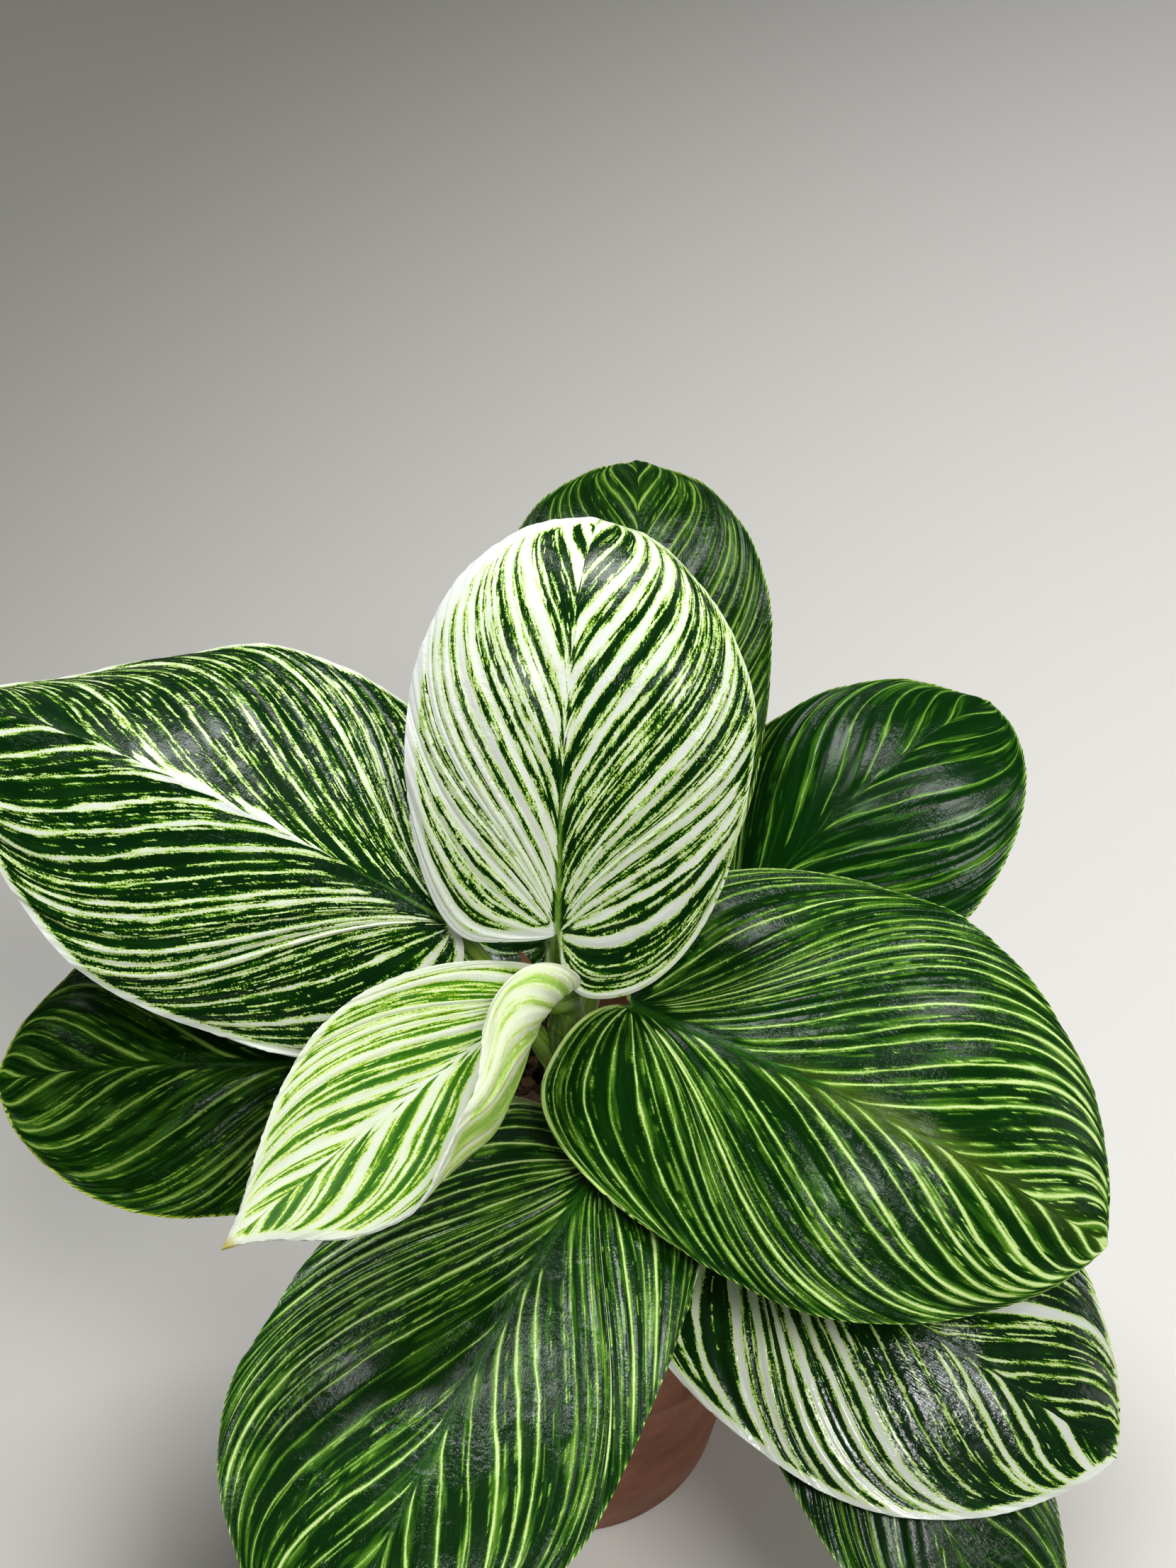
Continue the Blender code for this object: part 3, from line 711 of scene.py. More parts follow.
test = blade("leaf_05_test", LEAVES["leaf_05"], midrib(LEAVES["leaf_05"]))
print("a blade has", len(test.data.polygons), "faces on one side")
bpy.data.objects.remove(test, do_unlink=True)


# %% Stalk and midrib
STALK_SIDES, STALK_SQUASH = 14, 0.92
MIDRIB_FROM, MIDRIB_TO = 0.03, 0.86     # shares of the blade's length
STALK_R = 1.9                           # millimetres where the stalk meets the blade


def stalk(name, leaf, frames):
    """The stalk from inside the stem to the blade, then the midrib below the blade,
    thinning towards the tip and sinking into the blade at its end."""
    spot, _, _, rise = frames
    start, reach, near = (np.array(leaf[k], float) for k in ("stem", "out", "inn"))
    meet = spot[0] - STALK_R * rise[0]
    t = np.linspace(0, 1, 30)
    lower = bezier(start, start + reach, meet - near, meet, t[:, None])
    share = np.linspace(MIDRIB_FROM, MIDRIB_TO, 40)
    spot, rise = (np.stack([np.interp(share, np.linspace(0, 1, len(rows)), line) for line in rows.T], 1)
                  for rows in (spot, rise))
    thin = np.interp(share, [0, 0.3, MIDRIB_TO], [1.7, 1.15, 0.35])
    thick = np.interp(t, [0, 0.12, 0.3, 1], [4.0, 3.3, 2.4, STALK_R])
    path = np.concatenate([lower, spot - (thin * STALK_SQUASH)[:, None] * rise])
    reference = unit(np.cross((start + reach - meet) * (1, 1, 0) + 1e-6, (0, 0, 1)))
    rings = capped(tube_grid(path, np.concatenate([thick, thin]), reference, STALK_SIDES, STALK_SQUASH))
    run = np.cumsum(np.linalg.norm(np.diff(path, axis=0), axis=1))
    run = np.concatenate([[0, 0], run, run[-1:]])
    turn = np.linspace(0, 1, STALK_SIDES, endpoint=False)
    uv = np.stack(np.broadcast_arrays(turn[None, :], run[:, None] / 100), -1)
    return welded(make_piece(name, rings.reshape(-1, 3), grid_faces(len(rings), STALK_SIDES, wrap=True),
                             uv.reshape(-1, 2), *np.zeros((2, len(rings) * STALK_SIDES, 3))))


print(f"the midrib runs below the blade over {MIDRIB_TO:.0%} of its length")

# %% [markdown]
# ## Stripes
# The leaf is dark green with pinstripes along its side veins: white or cream at the core,
# lime at a ragged fringe. A stripe texture drawn as a wave would repeat evenly. Real ones
# differ in width, start late and fade early, so the vein number is cut into lanes, and
# each lane draws its own stripe from a few random numbers. Three sets of lanes of
# different pace overlap. The group gives the distance from the nearest stripe's edge.

# %% Stripe lanes group
lanes_group, board, given, out = shader_group(
    "stripe_lanes",
    {"Vein": 0.0, "Way": 0.0, "Run": 0.0, "Pitch": 100.0, "Lanes": 12.0, "Seed": 0.0,
     "Width": 0.2, "Spread": 0.5, "Chance": 0.8, "Reach": 0.3, "Broken": 0.0}, ["Gap"])
vein, way, run, pitch, lanes, seed, width, spread, chance, reach, broken = given


def draws(lane, seed):
    """Three random numbers for each lane."""
    return board.parts(board.wired("TexWhiteNoise", {"Vector": (lane, seed)}, "Color",
                                   noise_dimensions="2D"))


wander = board.noise((vein * (lanes * 0.6), run * 0.035, seed), detail=3)
track = (wander - 0.5) * 0.6 + (vein * lanes + seed)
lane, inside = board.math("FLOOR", track), board.math("FRACT", track)
aim, size, start = draws(lane, seed)
stop, luck, _ = draws(lane, seed + 41.7)
room = pitch / lanes            # millimetres from one lane to the next
aside = abs(inside - ((aim - 0.5) * 0.36 + 0.5)) * room
swell = board.noise((lane * 3.7, run * 0.06, seed)) * 2.4 - 0.2
width = width * ((size * 2 - 1) * spread + 1) * swell
width = width * (room / (abs(width) * 1.6 + room))      # stripes thin out where lanes crowd
begin, end = start * reach, 1.12 - stop * reach
live = board.step(way, begin - 0.03, begin + 0.03) * board.step(way, end - 0.2, end, 1, 0)
live = live * board.math("LESS_THAN", luck, chance)
dashes = board.noise((lane * 5.3, run * 0.22, seed))
live = live * (1 - board.step(dashes, 0.44, 0.56, 1, 0) * broken)
width = (width + 0.9) * live - 0.9                      # a dead stripe is far below nought
board.feed(out["Gap"], (aside - width) / (room / 1.8).most(0.3).least(1))
print("group", lanes_group.name, "nodes", len(lanes_group.nodes))

# %% Ragged fringe group
# Shift: millimetres by which an edge moves, from fine teeth, ticks that reach across the
# vein and long islands along it. Streak: the islands alone, from 0 to 1. Halo: how soon
# the lime ends beside a stripe, in slow patches.
fringe_group, board, (vein, run, seed, place), out = shader_group(
    "ragged_fringe", {"Vein": 0.0, "Run": 0.0, "Seed": 0.0, "Place": None},
    ["Shift", "Streak", "Halo"])
teeth = board.noise(place, 2300, roughness=0.65)
ticks = board.noise((vein * 75, run * 2.1, seed), detail=1)
islands = board.noise((vein * 130, run * 0.13, seed), detail=3, roughness=0.6)
patches = board.noise((vein * 48, run * 0.055, seed))
shift = (teeth - 0.5) * 1.8 + (islands - 0.5) * 3.4 - board.step(ticks, 0.58, 0.7) * 0.5
board.feed(out["Shift"], shift)
board.feed(out["Streak"], board.step(islands, 0.3, 0.7))
board.feed(out["Halo"], board.step(patches, 0.34, 0.64, 0.45, 2.8))
print("group", fringe_group.name, "nodes", len(fringe_group.nodes))

# %% Leaf surface group
# Height: ribs along the veins, wrinkles across them about half a millimetre apart, and
# pebbles a little over a millimetre wide. Gloss: patches where wrinkles and pebbles stand out.
surface_group, board, (vein, run, place, ribs, pebbles), out = shader_group(
    "leaf_surface", {"Vein": 0.0, "Run": 0.0, "Place": None, "Ribs": 0.5, "Pebbles": 0.5},
    ["Height", "Gloss"])
ridge = board.noise((vein * 40, run * 0.02), detail=1)
wrinkle = board.noise((vein * 60, run * 1.5))
pebble = board.noise(place, 760, 3, 0.6)
patch = board.noise(place, 90)
grain = (pebble + wrinkle * 0.6) * board.step(patch, 0.42, 0.66, 0.35, 1.3)
board.feed(out["Height"], ridge * ribs + grain * pebbles)
board.feed(out["Gloss"], patch)
print("groups:", [group.name for group in bpy.data.node_groups])

# %% [markdown]
# ## Leaf finishes
# The gap from the nearest stripe runs through a colour ramp: negative values are the core,
# values near nought the lime fringe, and large ones the dark green field. A margin band and
# the midrib's dark core and pale flare are joined to the same gap, so that they share the
# ragged fringe. Each leaf then needs only a few numbers, from nearly white to nearly green.

# %% Leaf palettes
GAP_LOW, GAP_HIGH = -1.6, 1.6   # millimetres at the two ends of each ramp

WHITE_RAMP = [(0.00, 241, 246, 241), (0.30, 239, 247, 230), (0.40, 229, 243, 196),
              (0.46, 206, 234, 128), (0.50, 156, 204, 56), (0.515, 84, 142, 20),
              (0.55, 30, 82, 6), (0.62, 8, 48, 4), (1.00, 5, 40, 8)]
LIME_RAMP = [(0.00, 232, 244, 196), (0.44, 212, 234, 156), (0.48, 178, 212, 114),
             (0.505, 130, 172, 66), (0.55, 84, 130, 36), (0.64, 46, 92, 16),
             (0.82, 16, 56, 7), (1.00, 8, 44, 6)]
DIM_RAMP = [(0.00, 166, 190, 104), (0.44, 140, 170, 80), (0.49, 104, 140, 46),
            (0.54, 56, 96, 20), (0.66, 22, 60, 8), (1.00, 9, 38, 4)]
CREAM_RAMP = [(0.00, 224, 230, 216), (0.36, 220, 229, 200), (0.44, 211, 226, 156),
              (0.485, 198, 224, 92), (0.51, 138, 182, 30), (0.56, 80, 138, 4),
              (0.68, 48, 106, 0), (1.00, 32, 86, 0)]
SOFT_RAMP = [(0.00, 222, 228, 208), (0.40, 218, 227, 188), (0.49, 200, 220, 130),
             (0.58, 160, 198, 62), (0.75, 138, 184, 34), (1.00, 128, 176, 28)]
SHINE_THROUGH, WAX, DRY_TIP = (132, 164, 50), (196, 206, 204), (176, 156, 44)
print("stops:", [len(r) for r in (WHITE_RAMP, LIME_RAMP, DIM_RAMP, CREAM_RAMP, SOFT_RAMP)])

# %% What a look may set
# ramp: the stripe colours, and back_ramp those of the back. seed: where the noises start.
# broad, middle, fine: three sets of lanes, each as the number of lanes, half the width of
#   a stripe in millimetres, how far widths spread, the chance that a lane has a stripe,
#   the share by which ends fall short, and how far the stripe is broken up.
# band_r, band_l: millimetres of pale margin on each half.
# core, core_end, rib: millimetres of the midrib's dark core, the share of the length at
#   which it ends, and its two colours. flare: millimetres of the pale flame beyond it.
# tipward, lean: millimetres added to every stripe towards the tip, and on the left half.
# ragged, steady: how far the fringe moves an edge, and how much less inside a stripe.
# halo: how far the lime beside the stripes varies. glow: the lighter green beside the
#   midrib, where light shines through.
# blotch, field: how strong the lighter blotches of the green are, and their colour.
# ribs, pebbles, rough, gloss: relief, roughness and strength of the shine.
# rim, rim_tone: millimetres and colour of the thin edge. tip: how brown the very tip is.
# back, back_share: the colour laid over the back, and how much of it.
BASE_LOOK = dict(
    ramp=LIME_RAMP, seed=0.0, broad=(24, 0.2, 0.8, 0.9, 0.1, 0.0),
    middle=(46, 0.06, 1.4, 0.5, 0.3, 0.5), fine=(90, 0.0, 1.4, 0.3, 0.5, 0.8),
    band_r=0.6, band_l=0.6, core=1.0, core_end=0.5, rib=((48, 100, 20), (14, 60, 12)),
    flare=0.0, tipward=0.0, lean=0.0, ragged=0.5, steady=0.65, halo=1.0, glow=0.0,
    blotch=0.3, field=(36, 84, 28), ribs=0.15, pebbles=0.8, rough=0.15, gloss=0.22,
    rim=0.35, rim_tone=(184, 210, 112), tip=0.0, back=(150, 168, 110), back_share=0.5)
LANE_INPUTS = ("Lanes", "Width", "Spread", "Chance", "Reach", "Broken")
print("a look has", len(BASE_LOOK), "values")


# %% Nearest stripe
def stripe_gap(board, look, rib, edge, length):
    """Millimetres to the nearest pale edge, below nought inside a stripe: the least of
    three sets of lanes, the margin band and the midrib's flare, moved by the fringe. Also
    gives the fringe's streak."""
    step, seed = board.step, look["seed"]
    vein, way = board.sheet()
    pitch, run, _ = board.parts(board.attribute("pace"))
    lanes = [board.group(lanes_group, Vein=vein, Way=way, Run=run, Pitch=pitch,
                         Seed=seed + 7.3 * k, **dict(zip(LANE_INPUTS, look[label])))["Gap"]
             for k, label in enumerate(("broad", "middle", "fine"))]
    left = board.math("GREATER_THAN", vein, 2)
    gap = lanes[0].least(lanes[1]).least(lanes[2])
    gap = gap - (length - 0.4).most(0) * look["tipward"] - left * look["lean"]
    fringe = board.group(fringe_group, Vein=vein, Run=run, Seed=seed, Place=board.place())
    band = left * (look["band_l"] - look["band_r"]) + look["band_r"]
    band = (band * (board.noise((vein * 7, seed)) * 1.3 + 0.35)).most(0.42)
    gap = board.math("SMOOTH_MIN", gap, edge - band, 0.3)
    tongue = board.noise((vein * 36, run * 0.03, seed))
    flare = (step(length, look["core_end"] - 0.15, look["core_end"] + 0.12)
             * step(length, 0.55, 0.8, 0.9 + look["flare"], 0) * step(tongue, 0.38, 0.62, 0.3, 1.35))
    gap = board.math("SMOOTH_MIN", gap, rib + (1 - flare), 0.8)
    rough = (step(edge, 0.3, 1.8, 0.25 * look["ragged"], look["ragged"])
             * step(gap, -0.1, 0.5, 1 - look["steady"], 1))
    gap = gap + fringe["Shift"] * rough
    gap = gap.least(0) + gap.most(0) * board.math("POWER", fringe["Halo"], look["halo"])
    return gap, fringe["Streak"]


print("stripe maker ready")


# %% Leaf finish maker
def leaf_finish(name, look, back=False):
    """The striped face of a leaf, or its paler and duller back."""
    look = {**BASE_LOOK, **look}
    made, board, shader = new_finish(name, look["rough"])
    step, mix, end = board.step, board.mix, look["core_end"]
    rib, edge, length = board.parts(board.attribute("place"))
    gap, streak = stripe_gap(board, look, rib, edge, length)
    share = (gap - GAP_LOW) / (GAP_HIGH - GAP_LOW)
    paint = board.ramp(share, look.get("back_ramp", look["ramp"]) if back else look["ramp"])
    vein, _ = board.sheet()
    _, run, _ = board.parts(board.attribute("pace"))
    blotch = board.noise((vein * 30, run * 0.05, look["seed"]), detail=3, roughness=0.6)
    field = step(blotch, 0.48, 0.72) * look["blotch"] * step(share, 0.55, 0.7)
    paint = mix(field, paint, look["field"])
    paint = mix(step(edge, look["rim"], look["rim"] + 0.35, 0.9, 0), paint, look["rim_tone"])
    glow = (step(rib, 0.5, 6, look["glow"], 0) * step(length, 0.25, 0.5)
            * step(length, 0.6, 0.85, 1, 0.3) * (streak * 0.8 + 0.3))
    paint = mix(glow, paint, SHINE_THROUGH)
    core = step(length, end - 0.35, end, 1, 0) * look["core"] + (streak - 0.5) * 0.8
    inner = step(core - rib, -0.2, 0.3) * 0.9 * step(length, end - 0.1, end + 0.05, 1, 0)
    dark, pale = look["rib"]
    paint = mix(inner, paint, board.ramp(streak, [(0.1, *dark), (0.8, *pale)]))
    grain = step(board.noise((vein * 260, run * 0.1)), 0.35, 0.75, 0, 0.16) * step(rib, 0.5, 5)
    paint = mix(grain, paint, WAX, "MULTIPLY")
    if look["tip"]:
        paint = mix(step(length, 0.955, 0.99, 0, look["tip"]), paint, DRY_TIP)
    if back:
        paint = mix(look["back_share"], paint, look["back"])
    board.feed(shader["Base Color"], paint)
    skin = board.group(surface_group, Vein=vein, Run=run, Place=board.place(),
                       Ribs=look["ribs"], Pebbles=look["pebbles"])
    board.bump(shader, skin["Height"], 0.5, 0.0005)
    low = look["rough"] + (0.2 if back else 0)
    board.feed(shader["Roughness"], step(skin["Gloss"], 0.4, 0.65, low + 0.05, low))
    shader["Specular IOR Level"].default_value = look["gloss"]
    return made


print("finish maker ready")

# %% Stalk finish
stalk_finish, board, shader = new_finish("stalk_green", 0.42)
turn, run = board.sheet()
streak = board.noise((turn * 26, run * 4), detail=3, roughness=0.6)
board.feed(shader["Base Color"], board.ramp(streak, [
    (0.30, 84, 122, 32), (0.48, 122, 156, 50), (0.62, 146, 174, 74), (0.75, 176, 194, 116)]))
board.bump(shader, streak, 0.35, 0.0003)
print("stalk finish ready")

# %% [markdown]
# ## Twelve looks
# No two leaves of such a plant are alike: the newest ones are nearly white, the old ones
# low down nearly green, and each has its own number and width of stripes. Twelve painted
# textures could show that, but they would stay flat and blur up close. The same finish
# with other numbers gives each leaf its own stripes, and they stay sharp at any distance.

# %% Leaf looks
LOOKS = {
    "leaf_01": dict(
        ramp=WHITE_RAMP, seed=3.0, broad=(15, 1.45, 0.9, 0.95, 0.08, 0.0),
        middle=(34, 0.42, 1.4, 0.85, 0.15, 0.2), fine=(84, 0.04, 1.2, 0.6, 0.3, 0.9),
        band_r=1.0, band_l=3.0, core=0.8, core_end=0.42, rib=((168, 204, 84), (44, 104, 14)),
        flare=1.4, lean=0.35, ragged=0.7, steady=0.0, halo=0.4, gloss=0.16,
        rim=0.2, rim_tone=(240, 246, 236)),
    "leaf_02": dict(
        ramp=WHITE_RAMP, seed=11.0, broad=(18, 0.52, 1.1, 0.92, 0.1, 0.0),
        middle=(38, 0.12, 1.5, 0.8, 0.15, 0.3), fine=(84, 0.08, 1.4, 0.6, 0.4, 0.8),
        band_r=1.5, band_l=2.0, core=0.9, core_end=0.24, rib=((120, 166, 60), (40, 96, 20)),
        flare=1.7, ragged=0.7, steady=0.0, halo=0.8, gloss=0.16,
        rim=0.2, rim_tone=(232, 240, 210)),
    "leaf_03": dict(
        ramp=DIM_RAMP, seed=21.0, broad=(26, 0.2, 0.9, 0.85, 0.1, 0.0),
        middle=(50, 0.02, 1.6, 0.5, 0.2, 0.6), blotch=0.5, field=(50, 88, 30), gloss=0.1),
    "leaf_04": dict(
        seed=33.0, broad=(12, 0.02, 0.6, 0.8, 0.15, 0.0), middle=(24, -0.3, 0.6, 0.3, 0.3, 0.8),
        fine=(70, -0.6, 0.5, 0.1, 0.5, 1.0), band_r=0.5, band_l=0.5, core=0.4,
        field=(24, 66, 28), ragged=0.2, ribs=0.05, gloss=0.09, pebbles=0.5),
    "leaf_05": dict(
        seed=45.0, broad=(23, 0.13, 1.1, 0.88, 0.08, 0.0), middle=(46, -0.06, 0.8, 0.5, 0.25, 0.7),
        fine=(100, -0.12, 0.6, 0.3, 0.5, 1.0), band_r=0.5, core=1.1, core_end=0.55,
        tipward=0.5, glow=0.35, blotch=0.25, field=(46, 86, 24), ragged=0.45, gloss=0.11),
    "leaf_06": dict(
        ramp=DIM_RAMP, seed=57.0, broad=(16, 0.26, 1.0, 0.85, 0.1, 0.0),
        middle=(34, 0.06, 1.4, 0.5, 0.2, 0.5), blotch=0.9, field=(56, 100, 28), gloss=0.07,
        rim=0.5, rim_tone=(188, 206, 70)),
    "leaf_07": dict(
        ramp=CREAM_RAMP, seed=69.0, broad=(11, 1.2, 0.9, 0.95, 0.05, 0.0),
        middle=(24, 0.3, 1.2, 0.85, 0.1, 0.0), fine=(60, 0.06, 1.2, 0.6, 0.3, 0.7),
        band_r=1.6, band_l=2.2, core=0.0, core_end=0.2, flare=1.6, ragged=0.6, steady=0.2,
        halo=0.4, blotch=0.4, field=(76, 134, 8), rough=0.3, gloss=0.08,
        rim=0.2, rim_tone=(236, 240, 220), tip=0.9,
        back_ramp=SOFT_RAMP, back=(222, 232, 190), back_share=0.15),
    "leaf_08": dict(
        seed=81.0, broad=(21, 0.19, 1.2, 0.85, 0.08, 0.0), middle=(42, 0.0, 1.0, 0.45, 0.25, 0.7),
        band_r=0.5, core=1.1, core_end=0.9, tipward=0.05, field=(44, 82, 28), ragged=0.4),
    "leaf_09": dict(
        ramp=WHITE_RAMP, seed=93.0, broad=(13, 0.8, 1.5, 0.88, 0.1, 0.0),
        middle=(28, 0.34, 1.8, 0.85, 0.2, 0.2), fine=(80, 0.08, 1.6, 0.6, 0.5, 0.8),
        band_r=2.0, band_l=1.0, core=0.9, core_end=0.6, ragged=0.6, steady=0.1, halo=0.7,
        rough=0.12, gloss=0.38, pebbles=0.5, rim=0.2, rim_tone=(232, 240, 210)),
    "leaf_10": dict(
        seed=105.0, broad=(13, 0.04, 1.2, 0.7, 0.2, 0.0), middle=(28, -0.2, 1.0, 0.4, 0.3, 0.8),
        fine=(60, -0.2, 0.5, 0.2, 0.5, 1.0), band_r=0.5, band_l=0.5),
    "leaf_11": dict(
        seed=117.0, broad=(9, 0.14, 1.2, 0.7, 0.2, 0.0), middle=(18, 0.0, 1.4, 0.5, 0.3, 0.6),
        fine=(40, -0.2, 0.5, 0.2, 0.5, 1.0), band_r=0.3, band_l=0.3, core=0.5),
    "leaf_12": dict(
        seed=129.0, broad=(15, 0.14, 1.2, 0.7, 0.2, 0.0), middle=(30, 0.0, 1.4, 0.5, 0.3, 0.6),
        fine=(60, -0.2, 0.5, 0.2, 0.5, 1.0), band_r=0.4, band_l=0.4),
}
print("looks for", len(LOOKS), "leaves")

# %% Build the leaves
BLADE_THICK = 0.55  # millimetres
STALK_SLOT = 2      # after the face and the back


def build_leaf(name):
    """Blade with its thickness, back in a second slot, joined with its stalk in a third."""
    leaf, frames = LEAVES[name], midrib(LEAVES[name])
    skin = blade(name + "_skin", leaf, frames)
    solid = skin.modifiers.new("thickness", "SOLIDIFY")
    solid.thickness, solid.offset, solid.material_offset = BLADE_THICK * MM, 0.0, 1
    skin.data.materials.append(leaf_finish(name + "_face", LOOKS[name]))
    skin.data.materials.append(leaf_finish(name + "_back", LOOKS[name], back=True))
    applied(skin)
    rod = stalk(name + "_stalk", leaf, frames)
    slots = np.full(len(rod.data.polygons), STALK_SLOT, np.int32)
    rod.data.polygons.foreach_set("material_index", slots)
    joined(skin, rod)
    skin.data.materials.append(stalk_finish)
    skin.data.shade_smooth()
    skin.data.set_sharp_from_angle(angle=np.radians(55))
    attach(skin, "root")
    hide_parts(name)
    return skin


for name in LEAVES:
    made = build_leaf(name)
    print(name, len(made.data.polygons), "faces")

# %% [markdown]
# ## Stem and sheath
# The stem is short and green, brown with age at its foot, with a ring at each place where
# a leaf clasps it. A plain rod would show between the stalks, so its radius swells at the
# rings. The papery scale beside the growing tip is what is left of the sheath that wrapped
# the newest leaf: one sheet, as wide as a sine, with frayed sides, leaning off the stem.

# %% Stem
# Centre line from foot to tip: height and radius in millimetres.
STEM_LINE = np.array([
    (97.5, 7.6), (104, 7.4), (110, 6.6), (117, 6.9), (124, 6.3), (131, 6.6), (138, 6.0),
    (145, 6.3), (152, 5.7), (159, 5.9), (166, 5.2), (173, 5.3), (179, 4.5), (184, 4.2),
    (188, 3.0), (190, 1.6)])
STEM_RINGS = np.array([110, 122, 134, 142, 158, 164, 171, 180])     # heights of the leaf scars


def stem_rings(rows=150, sides=36):
    """Radius from the centre line's, plus a narrow bell at each leaf ring and a slow swirl."""
    z = np.linspace(STEM_LINE[0, 0], STEM_LINE[-1, 0], rows)[:, None]
    turn = np.linspace(0, 2 * np.pi, sides, endpoint=False)
    tilted = z - 1.2 * np.cos(turn + z * 0.2)
    bell = np.exp(-((tilted[..., None] - STEM_RINGS) / 0.7) ** 2).sum(-1)
    swirl = 0.12 * np.sin(5 * turn + z * 0.3) - 0.15
    return turned(np.interp(z, *STEM_LINE.T) + 0.35 * bell + swirl, turn, z)


rings = capped(stem_rings())
stem = welded(make_piece("stem_skin", rings.reshape(-1, 3), grid_faces(*rings.shape[:2], wrap=True)))
stem.data.shade_smooth()
stem_finish, board, shader = new_finish("stem_green", 0.5)
x, y, z = board.parts(board.place())
fibre = board.noise((x * 900, y * 900, z * 90), detail=3)
young = board.ramp(fibre, [(0.35, 78, 112, 34), (0.65, 132, 158, 66)])
old = board.ramp(fibre, [(0.35, 92, 78, 46), (0.65, 128, 118, 74)])
age = board.step((fibre - 0.5) * 0.06 + z, 0.112, 0.150)
board.feed(shader["Base Color"], board.mix(age, old, young))
board.bump(shader, fibre, 0.5, 0.0005)
stem.data.materials.append(stem_finish)
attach(stem, "root")
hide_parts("stem")
print("stem faces", len(stem.data.polygons))

# %% Papery sheath
SHEATH = dict(foot=175.0, length=25.0, half=2.1, turn=146.0, thick=0.35)    # mm and degrees


def sheath_sheet(rows=60, cols=22):
    """v runs up and w across: the half width follows a sine that closes at the tip, the
    sheet leans away from the stem as v to the power 1.4, and its sides and top are frayed."""
    v, w = np.meshgrid(np.linspace(0, 1, rows), np.linspace(-1, 1, cols), indexing="ij")
    fray = 1 + 0.10 * np.sin(31 * v + 2 * w) * ease((v - 0.4) / 0.4)
    half = SHEATH["half"] * np.sin(np.pi * (0.16 + 0.80 * v)) ** 0.8 * fray
    turn = np.radians(SHEATH["turn"] + 12 * v)
    reach = 5.9 + 6.2 * v ** 1.4 - 0.4 * w ** 2 * (1 - v) + 0.22 * np.sin(9 * w + 3 * v) * v
    rise = SHEATH["foot"] + SHEATH["length"] * v - 0.9 * np.abs(w) * ease((v - 0.8) / 0.2)
    return turned(reach, turn, rise) + turned(half * w, turn + np.pi / 2, 0), v, w


sheet, v, w = sheath_sheet()
sheath = welded(make_piece("sheath_scale", sheet.reshape(-1, 3), grid_faces(*sheet.shape[:2]),
                           np.stack([w, v], -1).reshape(-1, 2)))
solid = sheath.modifiers.new("thickness", "SOLIDIFY")
solid.thickness, solid.offset = SHEATH["thick"] * MM, 0.0
sheath.data.shade_smooth()
sheath_finish, board, shader = new_finish("papery_sheath", 0.6)
across, up = board.sheet()
fibre = board.noise((across * 14, up * 3), detail=3, roughness=0.6)
dry = board.ramp(fibre, [(0.30, 104, 58, 34), (0.50, 158, 108, 74), (0.70, 196, 158, 122)])
board.feed(shader["Base Color"], board.mix(board.step(up, 0.25, 0, 0, 0.7), dry, (150, 164, 92)))
board.bump(shader, fibre, 0.6, 0.0003)
sheath.data.materials.append(sheath_finish)
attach(sheath, "root")
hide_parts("sheath")
print("sheath faces", len(sheath.data.polygons))

# %% [markdown]
# ## Soil
# Such plants grow in a loose mix of bark chips, fibre and white perlite. One lumpy disc
# gives the ground, and a few hundred chips are the same small block turned, stretched and
# pinched in its own way. All of them are made at once as arrays, from one seeded generator.

# %% Soil ground
SOIL_TOP = 105.0
soil_low, soil_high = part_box("soil")
SOIL_R = (soil_high.x - soil_low.x) / 2 / MM - 0.1
SOIL_FOOT = soil_low.z / MM
print("soil radius", round(SOIL_R, 2), "from", round(SOIL_FOOT, 1), "to", round(soil_high.z / MM, 1))


def ground(a, r):
    """A low dome with lumps: three sines of the angle whose phase runs with the radius."""
    lump = (1.1 * np.sin(3 * a + 0.140 * r) + 0.8 * np.sin(7 * a - 0.220 * r)
            + 0.6 * np.sin(13 * a + 0.167 * r))
    return SOIL_TOP + 1.6 * (1 - (r / SOIL_R) ** 2) + 0.6 * np.minimum(r / 6, 1) * lump


rows, cols = 46, 120
a = np.linspace(0, 2 * np.pi, cols, endpoint=False)[None, :]
r = np.linspace(0, SOIL_R, rows)[:, None]
rng = np.random.default_rng(7)
crumb = rng.normal(0, 0.35, (rows, cols)) * np.clip(r / 8, 0, 1) * (r < SOIL_R - 0.5)
narrow = SOIL_R - 0.12 * (SOIL_TOP - SOIL_FOOT)
shell = np.concatenate([turned(r, a, ground(a, r) + crumb), turned(narrow, a, SOIL_FOOT),
                        turned(0, a, SOIL_FOOT)])
soil = welded(make_piece("soil_mix", shell.reshape(-1, 3), grid_faces(len(shell), cols, wrap=True)))
soil.data.shade_smooth()
print("ground faces", len(soil.data.polygons))


# %% Chips and perlite
def block_faces(number):
    """The quads of a 3 by 3 by 3 lattice's six sides, all facing outwards."""
    quads = []
    for side, flip in ((number[0], True), (number[2], False), (number[:, 0], False),
                       (number[:, 2], True), (number[:, :, 0], True), (number[:, :, 2], False)):
        quad = np.stack([side[:-1, :-1], side[1:, :-1], side[1:, 1:], side[:-1, 1:]], -1)
        quads.append(quad.reshape(-1, 4)[:, ::-1 if flip else 1])
    return np.concatenate(quads)


